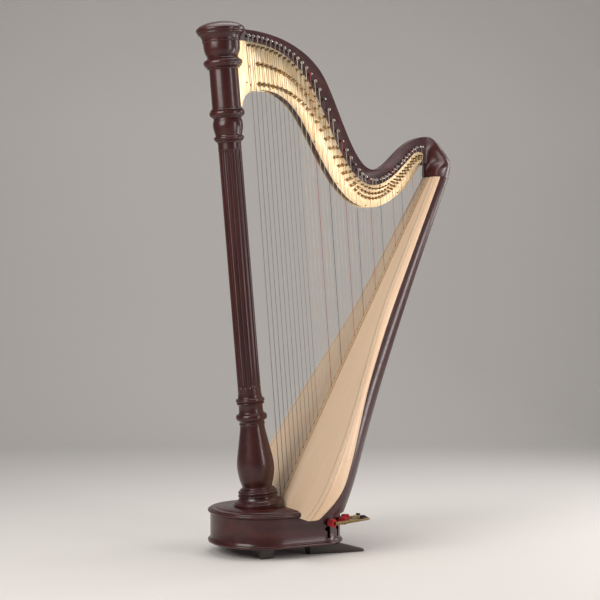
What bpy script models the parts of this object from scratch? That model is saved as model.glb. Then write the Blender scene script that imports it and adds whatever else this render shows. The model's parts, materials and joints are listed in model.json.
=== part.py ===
"""Concert pedal harp: 47 strings, seven pedals and a single turned and fluted column.

Frame: metres, +Z up. The origin is on the floor under the centre of the harp's bounding box,
+X runs from the column towards the soundbox and the player, and +Y is the player's right.
The functions below work from the point where the leaning column's axis meets the floor, and
add_mesh moves what they make by ORIGIN_SHIFT.
"""
import math

import bmesh
import bpy
from mathutils import Vector

# Driving dimensions
GAP = 0.0003                       # clearance between a piece and its neighbour
FIT = 0.0006                       # clearance round a piece that is let into another
LEAN = math.radians(5.0)           # column and strings lean forward from the vertical
STRING_COUNT = 47
FIRST_STRING = 0.0897              # longest string, measured across the strings from the column's foot
FIRST_SPACING = 0.0179             # spacing of the two longest strings
SPACING_STEP = 0.000125            # each spacing is this much less than the one before
BASS_WIRES = 11                    # wire-wound strings; the other 36 are gut and nylon
STRING_HALF = 0.0007
STRING_CLEAR = 0.0082              # strings stand this far in front of the action plate
STRING_TAIL = 0.006                # string above its bridge pin
STRING_RAIL = (0.012, 0.014)       # the strings' knots, level distances behind the string line
PIN_INSET = 0.014                  # bridge pins below the action plate's upper edge

BOARD_FOOT_X, BOARD_FOOT_Z = 0.074, 0.181     # a point on the string line at the foot of the soundboard
BOARD_SLOPE = 0.5245               # string line's run in X for each metre of height
BODY_FOOT_Z = 0.142                # soundbox stands here on the base
BODY_TOP_Z = 1.356                 # soundbox ends here under the shoulder
BOARD_THICK = 0.009                # measured level
RIB_THICK = 0.006
RIB_HALF_TOP, RIB_HALF_FOOT = 0.0075, 0.0105
RIB_FOOT_Z, RIB_TOP_Z = 0.1665, 1.355
RIB_HOLE, RIB_CLEAR = 0.0020, 0.0017          # half sizes of a string hole, sideways and across the strings
STRING_SLOT = 0.0022               # half width of the slot in the soundboard
STRING_SLOT_Z = (0.157, 1.346)
BOARD_HALF_TOP, BOARD_TAPER = 0.046, 0.130    # half width at the top, and its growth for each metre down
WING, WING_TOP_Z, WING_RUN = 0.105, 0.97, 0.67
CORNER_IN, CORNER_TOP_Z, CORNER_RUN = 0.048, 0.27, 0.128
SHELL_HALF_TOP, SHELL_TAPER = 0.040, 0.128
SHELL_WALL = 0.005
SHELL_SQUARE = 0.86                # power that makes the half-round section a little fuller
BAND_DEPTH_TOP, BAND_TAPER = 0.028, 0.030
BAND_SWELL, BAND_SWELL_TOP_Z, BAND_SWELL_RUN = 0.045, 0.62, 0.42
BAND_CORNER = 0.044                # the bands narrow towards the lower corners of the soundboard
BAND_WALL = 0.012
BODY_DEPTH_FOOT, BODY_TAPER, BODY_HOLLOW = 0.241, 0.130, 0.016
SOUND_HOLE_LEVELS = (0.34, 0.53, 0.71, 0.88, 1.04)
SOUND_HOLE_HALF_HIGH = 0.060
SOUND_HOLE_HALF_TOP, SOUND_HOLE_TAPER = 0.012, 0.016
TAIL_BLOCK_HIGH = 0.011
FOOT_LEVELS = (BODY_FOOT_Z, BODY_FOOT_Z + TAIL_BLOCK_HIGH, 0.178, 0.207, 0.238, 0.270)   # round the corners

NECK_HALF = 0.022                  # half thickness of the neck at the column
NECK_X0 = -0.10                    # the neck's thickness is measured here
LEFT_SLANT, RIGHT_SLANT = 0.038, 0.018        # how far the neck's two sides veer to the right
PLATE_THICK = 0.003
NECK_END_X = 0.6897                # seam with the shoulder

SHOULDER_X, SHOULDER_REACH = 0.690, 0.091
SHOULDER_RISE = 0.152
SHOULDER_BULGE = 0.045             # height of the shoulder's widest reach
SHOULDER_HALF_FOOT, SHOULDER_HALF_TOP = 0.047, 0.0165
NECK_END_HALF, NECK_END_Y = 0.0145, 0.0221    # half thickness and middle of the neck at the shoulder
SHOULDER_FLARE = 0.040             # the shoulder widens over this length behind the end of the neck
SHOULDER_TURN = 0.022              # the top of the shoulder lies this far to the right, over the neck
SHOULDER_LEVELS = (1.3603, 1.372, 1.386, 1.401, 1.420, 1.440, 1.460, 1.478, 1.493, 1.503, 1.507)

BORE = 0.028                       # hollow of the column, for the pedal rods
SHAFT_RADIUS = 0.0412
SHAFT_Z = (0.5683, 1.4577)
FLUTES = 16
FLUTE_DEPTH = 0.0042
FLUTE_START, FLUTE_SCOOP = 0.022, 0.020       # plain end of the shaft, and the run-out of a flute
ROUND = 32                         # facets of a large turned piece

BASE_HALF = 0.196                  # half width of the base at its mouldings
BASE_FRONT = 0.193                 # reach of the base in front of the column's foot
BASE_SQUARE = 2.1                  # superellipse power of the base's front
BASE_CORNER = 0.120                # radius of the two rear corners
BASE_CORNER_X = 0.149              # the rear corners start here
WALL_INSET = 0.009                 # drum wall lies this far inside the mouldings
WALL_THICK = 0.012
FLOOR_PLATE_Z = (0.038, 0.050)     # base bottom plate
DRUM_TOP_Z = BODY_FOOT_Z - GAP
TOP_PLATE_Z = (BODY_FOOT_Z, 0.163)
SLOT_Z = (0.062, 0.1285)
SLOT_WIDTH = 0.013
NOTCH_DEEP, NOTCH_HALF = 0.009, 0.007         # the resting notch in one side of a slot
TOP_PLATE_REAR = 0.0008            # clearance in front of the soundboard

FRONT_FOOT_X, FRONT_FOOT_Y, FRONT_FOOT_HALF = -0.050, 0.122, 0.0260
REAR_FOOT = ((0.120, 0.120, 0.020, 0.038), (0.235, 0.141, 0.019, 0.034), (0.322, 0.158, 0.012, 0.010))
FOOT_EDGE = 0.002

PEDAL_NOTES = ("D", "C", "B", "E", "F", "G", "A")
SLOT_ANGLES = (-78, -50, -22, 6, 30, 54, 78)   # degrees round the rear corners, left negative
PEDAL_PITCH = 0.008                # spacing of the arms and rods under the column
PEDAL_X = -0.100                   # pedal pivot
PEDAL_Z = 0.118
PEDAL_TIP_X = 0.338
PEDAL_PIVOT = Vector((PEDAL_X, 0, PEDAL_Z))
ARM_WIDE, ARM_HIGH = 0.006, 0.012
ARM_HEEL = 0.010                   # arm in front of its pivot
ARM_BEND_X, ARM_BEND_STEP = 0.045, 0.012      # first bend; each outer pair bends this much earlier
ARM_REACH = 0.038                  # second bend, this far outside the drum wall
TREAD = ((0.30, 0, 0), (0.62, 0, 0), (0.72, 0.008, 0.001), (0.94, 0.010, 0.001), (1.0, 0.003, -0.003))
TREAD_DRAW = 0.80                  # the treads stand closer together than the slots
PIVOT_RADIUS, PIVOT_FIT = 0.004, 0.0005
PIVOT_HALF = 0.046
CHEEK_IN, CHEEK_OUT = 0.034, 0.044
BLOCK_HALF, BLOCK_FLOOR, CHEEK_RISE = 0.014, 0.014, 0.014
ROD_RADIUS = 0.0022
ROD_FOOT_Z, ROD_TOP_Z = 0.1246, 1.735
FELT_RADIUS, FELT_LONG = 0.0150, 0.028
FELT_OFF = 0.0055                  # felt stands this far off the drum wall

FIRST_DISC_STRING = 14             # C of the third octave, counted from 0
DISC_NOTES = ("C", "D", "E", "F", "G", "A", "B")
NATURAL_START, SHARP_START = math.radians(68), math.radians(76)
NATURAL_DROP, SHARP_DROP = 0.0435, 0.089      # disc rows below the bridge pin, per string length
DISC_RADIUS, DISC_THICK = 0.0071, 0.0025
DISC_ROWS = (("natural", NATURAL_DROP, NATURAL_START), ("sharp", SHARP_DROP, SHARP_START))
DISC_CLEAR = 0.0006                # between a disc and the plate
PRONG_REACH, PRONG_RADIUS, PRONG_LONG = 0.0054, 0.0013, 0.0090

MAHOGANY = (0.105, 0.022, 0.016)
MAPLE = (0.62, 0.42, 0.24)
SPRUCE = (0.72, 0.52, 0.33)
BRASS = (0.83, 0.64, 0.33)
IRON = (0.07, 0.06, 0.05)
STEEL = (0.55, 0.55, 0.55)
FELT_RED = (0.55, 0.02, 0.03)
WIRE = (0.35, 0.33, 0.31)
GUT = (0.75, 0.66, 0.50)
FOOT_PAD = (0.05, 0.045, 0.04)


def clear_scene():
    for item in list(bpy.data.objects):
        bpy.data.objects.remove(item, do_unlink=True)


def finish(name, colour, roughness=0.35, metallic=0.0):
    material = bpy.data.materials.new(name)
    material.use_nodes = True
    shader = material.node_tree.nodes["Principled BSDF"]
    shader.inputs["Base Color"].default_value = (*colour, 1.0)
    shader.inputs["Roughness"].default_value = roughness
    shader.inputs["Metallic"].default_value = metallic
    return material


def add_mesh(name, points, faces, material, parent=None, sharp=40):
    """One closed mesh object; its faces are turned outwards and its round parts shaded smooth."""
    mesh = bpy.data.meshes.new(name)
    mesh.from_pydata([tuple(p) for p in points], [], faces)
    shape = bmesh.new()
    shape.from_mesh(mesh)
    bmesh.ops.recalc_face_normals(shape, faces=shape.faces)
    shape.to_mesh(mesh)
    shape.free()
    mesh.shade_smooth()
    mesh.set_sharp_from_angle(angle=math.radians(sharp))
    mesh.materials.append(material)
    item = bpy.data.objects.new(name, mesh)
    bpy.context.scene.collection.objects.link(item)
    item.parent = parent
    if parent is None:
        item.location = ORIGIN_SHIFT
    return item


def loft(rings, loop=False):
    """Points and faces of a skin over equal rings: end caps, or a closed loop of rings."""
    count = len(rings[0])
    points = [p for ring in rings for p in ring]
    faces = []
    spans = len(rings) if loop else len(rings) - 1
    for k in range(spans):
        a, b = k * count, (k + 1) % len(rings) * count
        for i in range(count):
            j = (i + 1) % count
            faces.append((a + i, a + j, b + j, b + i))
    if not loop:
        faces.append(tuple(range(count)))
        faces.append(tuple(range(len(points) - count, len(points))))
    return points, faces


def cut(item, cutter):
    """Boolean difference kept as a modifier; the cutter is a hidden guide."""
    cutter.hide_render = True
    cutter.display_type = "WIRE"
    modifier = item.modifiers.new("cut_" + cutter.name, "BOOLEAN")
    modifier.operation = "DIFFERENCE"
    modifier.solver = "EXACT"
    modifier.object = cutter


def bezier(start, leave, arrive, end, steps):
    """Points of a cubic curve, without its last point."""
    out = []
    for k in range(steps):
        t = k / steps
        s = 1 - t
        weights = (s ** 3, 3 * s * s * t, 3 * s * t * t, t ** 3)
        x = sum(w * p[0] for w, p in zip(weights, (start, leave, arrive, end)))
        z = sum(w * p[1] for w, p in zip(weights, (start, leave, arrive, end)))
        out.append((x, z))
    return out


def smooth_step(t):
    t = min(max(t, 0.0), 1.0)
    return t * t * (3 - 2 * t)


def leaning(x, y, along):
    """World point from column coordinates: across, sideways and up the leaning axis."""
    across = x * math.cos(LEAN) - along * math.sin(LEAN)
    return Vector((across, y, x * math.sin(LEAN) + along * math.cos(LEAN)))


def ring_on_axis(radius, along, count=ROUND):
    turn = 2 * math.pi / count
    return [leaning(radius * math.cos(turn * i), radius * math.sin(turn * i), along) for i in range(count)]


def ring_on_floor(radius, level, count=ROUND):
    """A ring of the leaning column, cut off by the level plane it stands on."""
    axis = leaning(0, 0, 1)
    return [p + axis * ((level - p.z) / axis.z) for p in ring_on_axis(radius, level, count)]


# Column, from the base upwards: (radius, distance up the axis)

VASE_PROFILE = (
    (0.0885, 0.1765), (0.0820, 0.1860), (0.0690, 0.1960), (0.0635, 0.2080), (0.0678, 0.2190),
    (0.0645, 0.2300), (0.0520, 0.2380), (0.0600, 0.2590), (0.0662, 0.2980), (0.0640, 0.3350),
    (0.0560, 0.3800), (0.0445, 0.4450), (0.0435, 0.4620), (0.0530, 0.4770), (0.0550, 0.4890),
    (0.0530, 0.5000), (0.0430, 0.5150), (0.0435, 0.5300), (0.0510, 0.5400), (0.0510, 0.5510),
    (0.0425, 0.5600), (0.0425, 0.5680),
)
COLLAR_PROFILE = (
    (0.0420, 1.4580), (0.0430, 1.4640), (0.0530, 1.4690), (0.0530, 1.4830), (0.0480, 1.4890),
    (0.0520, 1.5080), (0.0535, 1.5210), (0.0520, 1.5350), (0.0486, 1.5460), (0.0590, 1.5560),
    (0.0620, 1.5660), (0.0600, 1.5760), (0.0540, 1.5800),
)
CAPITAL_PROFILE = (
    (0.0510, 1.5803), (0.0510, 1.7220), (0.0650, 1.7340), (0.0680, 1.7440), (0.0650, 1.7540),
    (0.0520, 1.7640), (0.0620, 1.7860), (0.0655, 1.8140), (0.0690, 1.8300), (0.0820, 1.8460),
    (0.0855, 1.8530), (0.0860, 1.8570), (0.0845, 1.8610), (0.0780, 1.8680), (0.0620, 1.8760),
    (0.0400, 1.8825), (0.0200, 1.8850),
)
CAPITAL_BORE_TOP = 1.7620
FRONT_X = min(leaning(-radius, 0, along).x for radius, along in CAPITAL_PROFILE)
ORIGIN_SHIFT = Vector((-(FRONT_X + SHOULDER_X + SHOULDER_REACH) / 2, 0, 0))


def turned(name, profile, material, foot_level=None):
    """A turned and bored piece of the column; foot_level trims its foot to a level plane."""
    rings = [ring_on_axis(radius, along) for radius, along in profile]
    low, high = profile[0][1], profile[-1][1]
    inner = [ring_on_axis(BORE, high), ring_on_axis(BORE, low)]
    if foot_level is not None:
        rings.insert(0, ring_on_floor(profile[0][0], foot_level))
        inner[-1] = ring_on_floor(BORE, foot_level)
    points, faces = loft(rings + inner, loop=True)
    return add_mesh(name, points, faces, material)


def column_capital(material):
    """Capital with a blind bore, closed over the heads of the pedal rods."""
    bore = [ring_on_axis(BORE, CAPITAL_BORE_TOP), ring_on_axis(BORE, CAPITAL_PROFILE[0][1])]
    points, faces = loft(bore + [ring_on_axis(radius, along) for radius, along in CAPITAL_PROFILE])
    return add_mesh("column_capital", points, faces, material)


def flute_ring(along, depth):
    """One ring of the shaft: each flute has a land, two flanks and a bottom."""
    ring = []
    for k in range(FLUTES * 4):
        sink = (0.0, 0.72, 1.0, 0.72)[k % 4] * depth
        turn = 2 * math.pi * k / (FLUTES * 4)
        radius = SHAFT_RADIUS - sink
        ring.append(leaning(radius * math.cos(turn), radius * math.sin(turn), along))
    return ring


def column_shaft(material):
    low, high = SHAFT_Z
    ends = (
        (0.0, 0.0), (FLUTE_START, 0.0), (FLUTE_START + 0.4 * FLUTE_SCOOP, 0.75 * FLUTE_DEPTH),
        (FLUTE_START + FLUTE_SCOOP, FLUTE_DEPTH),
    )
    rings = [flute_ring(low + inset, sink) for inset, sink in ends]
    rings += [flute_ring(high - inset, sink) for inset, sink in reversed(ends)]
    rings.append(ring_on_axis(BORE, high, FLUTES * 4))
    rings.append(ring_on_axis(BORE, low, FLUTES * 4))
    points, faces = loft(rings, loop=True)
    return add_mesh("column_shaft", points, faces, material, sharp=30)


def column_clearance(material):
    """Guide for fitting the neck and its plates round the column's top pieces."""
    profile = COLLAR_PROFILE[2:] + CAPITAL_PROFILE[:-4]
    rings = [ring_on_axis(radius + FIT, along) for radius, along in profile]
    lip = max(radius for radius, _ in CAPITAL_PROFILE)
    rings.append(ring_on_axis(lip + FIT, CAPITAL_PROFILE[-1][1]))
    points, faces = loft(rings)
    return add_mesh("guide_column", points, faces, material)


def trim_foot(vase, material):
    """Flat on the back of the column's foot, where the soundboard and its rib stand."""
    reach = 2 * VASE_PROFILE[0][0]
    rings = []
    for level in (0.15, 0.28):
        near = string_line_x(level) - RIB_THICK - 2 * FIT
        far = near + reach
        corners = ((near, -reach), (far, -reach), (far, reach), (near, reach))
        rings.append([Vector((x, y, level)) for x, y in corners])
    points, faces = loft(rings)
    cut(vase, add_mesh("guide_board", points, faces, material))


# Neck and action

def neck_left(x):
    return -NECK_HALF + LEFT_SLANT * (x - NECK_X0)


def neck_right(x):
    return NECK_HALF + RIGHT_SLANT * (x - NECK_X0)


def neck_crest(steps=7):
    """Upper edge of the neck, from the capital to the shoulder seam."""
    edge = bezier((-0.110, 1.857), (0.050, 1.864), (0.185, 1.800), (0.245, 1.708), steps)
    edge += bezier((0.245, 1.708), (0.308, 1.611), (0.372, 1.383), (0.450, 1.378), steps)
    edge += bezier((0.450, 1.378), (0.525, 1.375), (0.565, 1.508), (NECK_END_X, 1.508), steps)
    return edge + [(NECK_END_X, 1.508)]


def plate_crest(steps=6):
    edge = bezier((-0.125, 1.814), (0.040, 1.819), (0.125, 1.765), (0.190, 1.668), steps)
    edge += bezier((0.190, 1.668), (0.262, 1.558), (0.330, 1.3375), (0.436, 1.3215), steps)
    edge += bezier((0.436, 1.3215), (0.500, 1.3125), (0.552, 1.366), (0.622, 1.436), steps)
    return edge


def plate_underside(steps=6):
    """Lower edge of the action plate, from its treble end back to the column."""
    edge = bezier((0.622, 1.436), (0.645, 1.459), (0.680, 1.452), (0.667, 1.424), 4)
    edge += bezier((0.667, 1.424), (0.638, 1.361), (0.545, 1.238), (0.430, 1.237), steps)
    edge += bezier((0.430, 1.237), (0.325, 1.236), (0.250, 1.374), (0.190, 1.478), steps)
    edge += bezier((0.190, 1.478), (0.140, 1.565), (0.090, 1.648), (-0.012, 1.645), steps)
    edge += bezier((-0.012, 1.645), (-0.055, 1.644), (-0.086, 1.630), (-0.087, 1.583), 4)
    return edge + [(-0.087, 1.583), (-0.140, 1.583)]


def neck_underside(steps=6):
    edge = bezier((NECK_END_X, 1.404), (0.664, 1.404), (0.655, 1.398), (0.638, 1.379), 3)
    edge += bezier((0.638, 1.379), (0.597, 1.330), (0.530, 1.244), (0.430, 1.241), steps)
    edge += bezier((0.430, 1.241), (0.327, 1.240), (0.253, 1.376), (0.190, 1.483), steps)
    edge += bezier((0.190, 1.483), (0.140, 1.570), (0.090, 1.652), (-0.012, 1.649), steps)
    edge += bezier((-0.012, 1.649), (-0.055, 1.648), (-0.083, 1.632), (-0.084, 1.586), 4)
    return edge + [(-0.084, 1.586), (-0.140, 1.586)]


def slab(name, outline, near, far, material, clearance):
    """A plate with an outline in X and Z between two slanted sides, fitted round the column."""
    rings = [[Vector((x, side(x), z)) for x, z in outline] for side in (near, far)]
    points, faces = loft(rings)
    item = add_mesh(name, points, faces, material, sharp=25)
    cut(item, clearance)
    return item


def neck(material, clearance):
    return slab("neck", neck_crest() + neck_underside(), neck_left, neck_right, material, clearance)


def action_plate(name, side, direction, material, clearance):
    """Brass plate screwed to one side of the neck; direction is -1 for the left plate."""
    def near(x):
        return side(x) + direction * GAP

    def far(x):
        return side(x) + direction * (GAP + PLATE_THICK)

    return slab(name, plate_crest() + plate_underside(), near, far, material, clearance)


def shoulder_reach(rise):
    """How far the shoulder reaches back at a height above the soundbox."""
    below = max(0.0, SHOULDER_BULGE - rise) / SHOULDER_BULGE
    above = max(0.0, rise - SHOULDER_BULGE) / (SHOULDER_RISE - SHOULDER_BULGE)
    return SHOULDER_REACH * (1 - 0.12 * below ** 2) * math.sqrt(max(0.0, 1 - above ** 1.8))


def shoulder_section(level):
    """Level section of the shoulder: it flares from the neck's two sides, and its back is round."""
    rise = level - BODY_TOP_Z
    narrowing = smooth_step((rise - 0.030) / 0.115)
    half = SHOULDER_HALF_FOOT + (SHOULDER_HALF_TOP - SHOULDER_HALF_FOOT) * narrowing
    middle = SHOULDER_TURN * narrowing
    flare = 0.002 + SHOULDER_FLARE * smooth_step((rise - 0.012) / 0.055)
    flare = min(flare, 0.5 * shoulder_reach(rise))
    back = shoulder_reach(rise) - flare
    front, rear = [], []
    for side, shares in ((1, (1.0, 0.8, 0.6, 0.4, 0.2, 0.0)), (-1, (0.0, 0.2, 0.4, 0.6, 0.8, 1.0))):
        start, end = NECK_END_Y + side * NECK_END_HALF, middle + side * half
        for share in shares:
            y = start + (end - start) * smooth_step(share)
            front.append(Vector((SHOULDER_X + flare * share, y, level)))
    for k in range(1, 16):
        turn = math.pi * (k / 16 - 0.5)
        reach = abs(math.cos(turn)) ** 0.8
        spread = math.copysign(abs(math.sin(turn)) ** 0.8, math.sin(turn))
        rear.append(Vector((SHOULDER_X + flare + back * reach, middle + half * spread, level)))
    return front + rear


def shoulder_cap(material):
    points, faces = loft([shoulder_section(level) for level in SHOULDER_LEVELS])
    return add_mesh("shoulder_cap", points, faces, material, sharp=50)


# Soundbox, drawn as level sections

def string_line_x(level):
    return BOARD_FOOT_X + BOARD_SLOPE * (level - BOARD_FOOT_Z)


def corner_share(level):
    """How much of the lower corners' rounding applies at a level; all of it at the foot."""
    return max(0.0, (CORNER_TOP_Z - level) / CORNER_RUN) ** 2


def board_half(level):
    """Half width of the soundboard: a straight taper, widened into wings in the bass."""
    taper = BOARD_HALF_TOP + BOARD_TAPER * (BODY_TOP_Z - level)
    wing = WING * smooth_step((WING_TOP_Z - level) / WING_RUN)
    return taper + wing - CORNER_IN * corner_share(level)


def shell_half(level):
    return SHELL_HALF_TOP + SHELL_TAPER * (BODY_TOP_Z - level)


def band_depth(level):
    swell = BAND_SWELL * smooth_step((BAND_SWELL_TOP_Z - level) / BAND_SWELL_RUN)
    return BAND_DEPTH_TOP + BAND_TAPER * (BODY_TOP_Z - level) + swell - BAND_CORNER * corner_share(level)


def body_depth(level):
    """Level distance from the string line to the back of the shell."""
    rise = level - BODY_FOOT_Z
    hollow = BODY_HOLLOW * math.sin(math.pi * rise / (BODY_TOP_Z - BODY_FOOT_Z))
    return BODY_DEPTH_FOOT - BODY_TAPER * rise - hollow


def levels_between(low, high, count):
    return [low + (high - low) * k / (count - 1) for k in range(count)]


def soundboard(material):
    """Spruce board with a centre slot for the strings, covered in front by the string rib."""
    slot_low, slot_high = STRING_SLOT_Z
    stations = [BODY_FOOT_Z, slot_low] + levels_between(0.19, 1.30, 13) + [slot_high, BODY_TOP_Z]
    points = []
    for level in stations:
        x, half = string_line_x(level), board_half(level)
        for depth in (0.0, BOARD_THICK):
            for y in (-half, -STRING_SLOT, STRING_SLOT, half):
                points.append(Vector((x + depth, y, level)))
    faces = []
    last = len(stations) - 1
    for k in range(last):
        a, b = 8 * k, 8 * (k + 1)
        for strip in (0, 1, 2):
            if strip == 1 and 0 < k < last - 1:
                continue
            faces.append((a + strip, a + strip + 1, b + strip + 1, b + strip))
            faces.append((a + 4 + strip, a + 5 + strip, b + 5 + strip, b + 4 + strip))
        faces.append((a, b, b + 4, a + 4))
        faces.append((a + 3, b + 3, b + 7, a + 7))
        if 0 < k < last - 1:
            faces.append((a + 1, b + 1, b + 5, a + 5))
            faces.append((a + 2, b + 2, b + 6, a + 6))
    for k in (0, last):
        for strip in (0, 1, 2):
            a = 8 * k + strip
            faces.append((a, a + 1, a + 5, a + 4))
    for k in (1, last - 1):
        a = 8 * k
        faces.append((a + 1, a + 2, a + 6, a + 5))
    return add_mesh("soundboard", points, faces, material)


def band_ring(level, side):
    """Section of one side band: rounded outside, the same curve set in for the inside."""
    start = BOARD_THICK + GAP
    end = band_depth(level)
    outer, inner = [], []
    steps = 6
    for k in range(steps):
        turn = math.radians(84) * k / (steps - 1)
        across, back = math.cos(turn) ** 0.85, math.sin(turn) ** 0.85
        for ring, wall in ((outer, 0.0), (inner, BAND_WALL)):
            half = shell_half(level) - wall + (board_half(level) - shell_half(level)) * across
            depth = start + (end - wall - start) * back
            ring.append(Vector((string_line_x(level) + depth, side * half, level)))
    return outer + inner[::-1]


def edge_band(name, side, material):
    stations = list(FOOT_LEVELS) + [0.30] + levels_between(0.39, BODY_TOP_Z, 10)
    points, faces = loft([band_ring(level, side) for level in stations])
    return add_mesh(name, points, faces, material)


def shell_arc(level, wall):
    """Half-round back of the shell from its left edge to its right edge."""
    front = string_line_x(level) + band_depth(level) + GAP
    reach = body_depth(level) - band_depth(level) - GAP - wall
    half = shell_half(level) - wall
    arc = []
    for k in range(15):
        turn = math.pi * (k / 14 - 0.5)
        back = abs(math.cos(turn)) ** SHELL_SQUARE
        across = math.copysign(abs(math.sin(turn)) ** SHELL_SQUARE, math.sin(turn))
        arc.append(Vector((front + reach * back, half * across, level)))
    return arc


def sound_hole_ring(x, level):
    """Oval outline of a sound hole in an upright plane; the holes get narrower upwards."""
    half_wide = SOUND_HOLE_HALF_TOP + SOUND_HOLE_TAPER * (1.3 - level)
    turns = [t * math.pi / 6 for t in range(12)]
    return [Vector((x, half_wide * math.cos(t), level + SOUND_HOLE_HALF_HIGH * math.sin(t))) for t in turns]


def soundbox_shell(material):
    """Mahogany shell, open in front for the board, with five long sound holes in its back."""
    stations = list(FOOT_LEVELS) + levels_between(BODY_FOOT_Z, BODY_TOP_Z, 9)[1:]
    rings = [shell_arc(level, 0.0) + shell_arc(level, SHELL_WALL)[::-1] for level in stations]
    points, faces = loft(rings)
    shell = add_mesh("soundbox_shell", points, faces, material)
    for number, level in enumerate(SOUND_HOLE_LEVELS, 1):
        back = string_line_x(level) + body_depth(level)
        points, faces = loft([sound_hole_ring(back - 0.075, level), sound_hole_ring(back + 0.060, level)])
        cut(shell, add_mesh(f"guide_sound_hole_{number}", points, faces, material))
    return shell


def tail_block(material):
    """Block that closes the foot of the soundbox."""
    rings = []
    for level in (BODY_FOOT_Z + GAP, BODY_FOOT_Z + TAIL_BLOCK_HIGH):
        arc = shell_arc(level, SHELL_WALL + FIT)
        front = string_line_x(level) + BOARD_THICK + 2 * FIT
        first = Vector((front, arc[0].y + BAND_WALL, level))
        last = Vector((front, arc[-1].y - BAND_WALL, level))
        left = [first, Vector((arc[0].x, first.y, level))]
        right = [Vector((arc[0].x, last.y, level)), last]
        rings.append(left + arc[1:-1] + right)
    points, faces = loft(rings)
    return add_mesh("tail_block", points, faces, material)


# Strings: placed by their distance from the column's foot, measured across them

def string_place(number):
    return FIRST_STRING + FIRST_SPACING * number - SPACING_STEP * number * (number - 1) / 2


def on_string(place, along):
    """X and Z of a point on a string."""
    return place * math.cos(LEAN) - along * math.sin(LEAN), place * math.sin(LEAN) + along * math.cos(LEAN)


def string_foot(place):
    """Distance along a string where it meets the string line of the soundboard."""
    run = math.cos(LEAN) - BOARD_SLOPE * math.sin(LEAN)
    rise = math.sin(LEAN) + BOARD_SLOPE * math.cos(LEAN)
    return (place * run - BOARD_FOOT_X + BOARD_SLOPE * BOARD_FOOT_Z) / rise


def behind_line(place, depth):
    """Distance along a string where it lies this far behind the string line, measured level."""
    return string_foot(place) - depth / (math.sin(LEAN) + BOARD_SLOPE * math.cos(LEAN))


def string_head(place):
    """Distance along a string up to its bridge pin, just under the action plate's upper edge."""
    edge = plate_crest(24) + [(0.622, 1.436), (0.642, 1.450), (0.700, 1.450)]
    across = [x * math.cos(LEAN) + z * math.sin(LEAN) for x, z in edge]
    along = [z * math.cos(LEAN) - x * math.sin(LEAN) for x, z in edge]
    for k in range(len(edge) - 1):
        if across[k] <= place <= across[k + 1]:
            share = (place - across[k]) / (across[k + 1] - across[k])
            return along[k] + share * (along[k + 1] - along[k]) - PIN_INSET
    return along[-1] - PIN_INSET


def string_side(place, along):
    """Sideways place of a string, which runs from the board's middle to the plate's left side."""
    foot, head = string_foot(place), string_head(place)
    top_x = on_string(place, head)[0]
    top_y = neck_left(top_x) - GAP - PLATE_THICK - STRING_CLEAR
    return top_y * (along - foot) / (head - foot)


def string_comb(name, numbers, material):
    """Strings with their knots in one rail behind the soundboard."""
    points, faces = [], []
    rows = []
    for number in numbers:
        for shift in (-STRING_HALF, STRING_HALF):
            row = len(points)
            rows.append(row)
            place = string_place(number) + shift
            for depth in STRING_RAIL:
                x, z = on_string(place, behind_line(place, depth))
                points += [Vector((x, side * STRING_HALF, z)) for side in (-1, 1)]
    for k in range(len(rows) - 1):
        a, b = rows[k], rows[k + 1]
        if k % 2:
            faces.append((a, a + 1, b + 1, b))
        faces.append((a + 2, a + 3, b + 3, b + 2))
        faces.append((a, b, b + 2, a + 2))
        faces.append((a + 1, b + 1, b + 3, a + 3))
    faces.append((rows[0], rows[0] + 1, rows[0] + 3, rows[0] + 2))
    faces.append((rows[-1], rows[-1] + 1, rows[-1] + 3, rows[-1] + 2))
    for k, number in enumerate(numbers):
        place = string_place(number)
        head = string_head(place) + STRING_TAIL
        low, high = rows[2 * k], rows[2 * k + 1]
        base = (low, low + 1, high + 1, high)
        tip = len(points)
        for corner in base:
            start = points[corner]
            across = start.x * math.cos(LEAN) + start.z * math.sin(LEAN)
            x, z = on_string(across, head)
            points.append(Vector((x, start.y + string_side(place, head), z)))
        for i in range(4):
            j = (i + 1) % 4
            faces.append((base[i], base[j], tip + j, tip + i))
        faces.append((tip, tip + 1, tip + 2, tip + 3))
    return add_mesh(name, points, faces, material, sharp=180)


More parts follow.
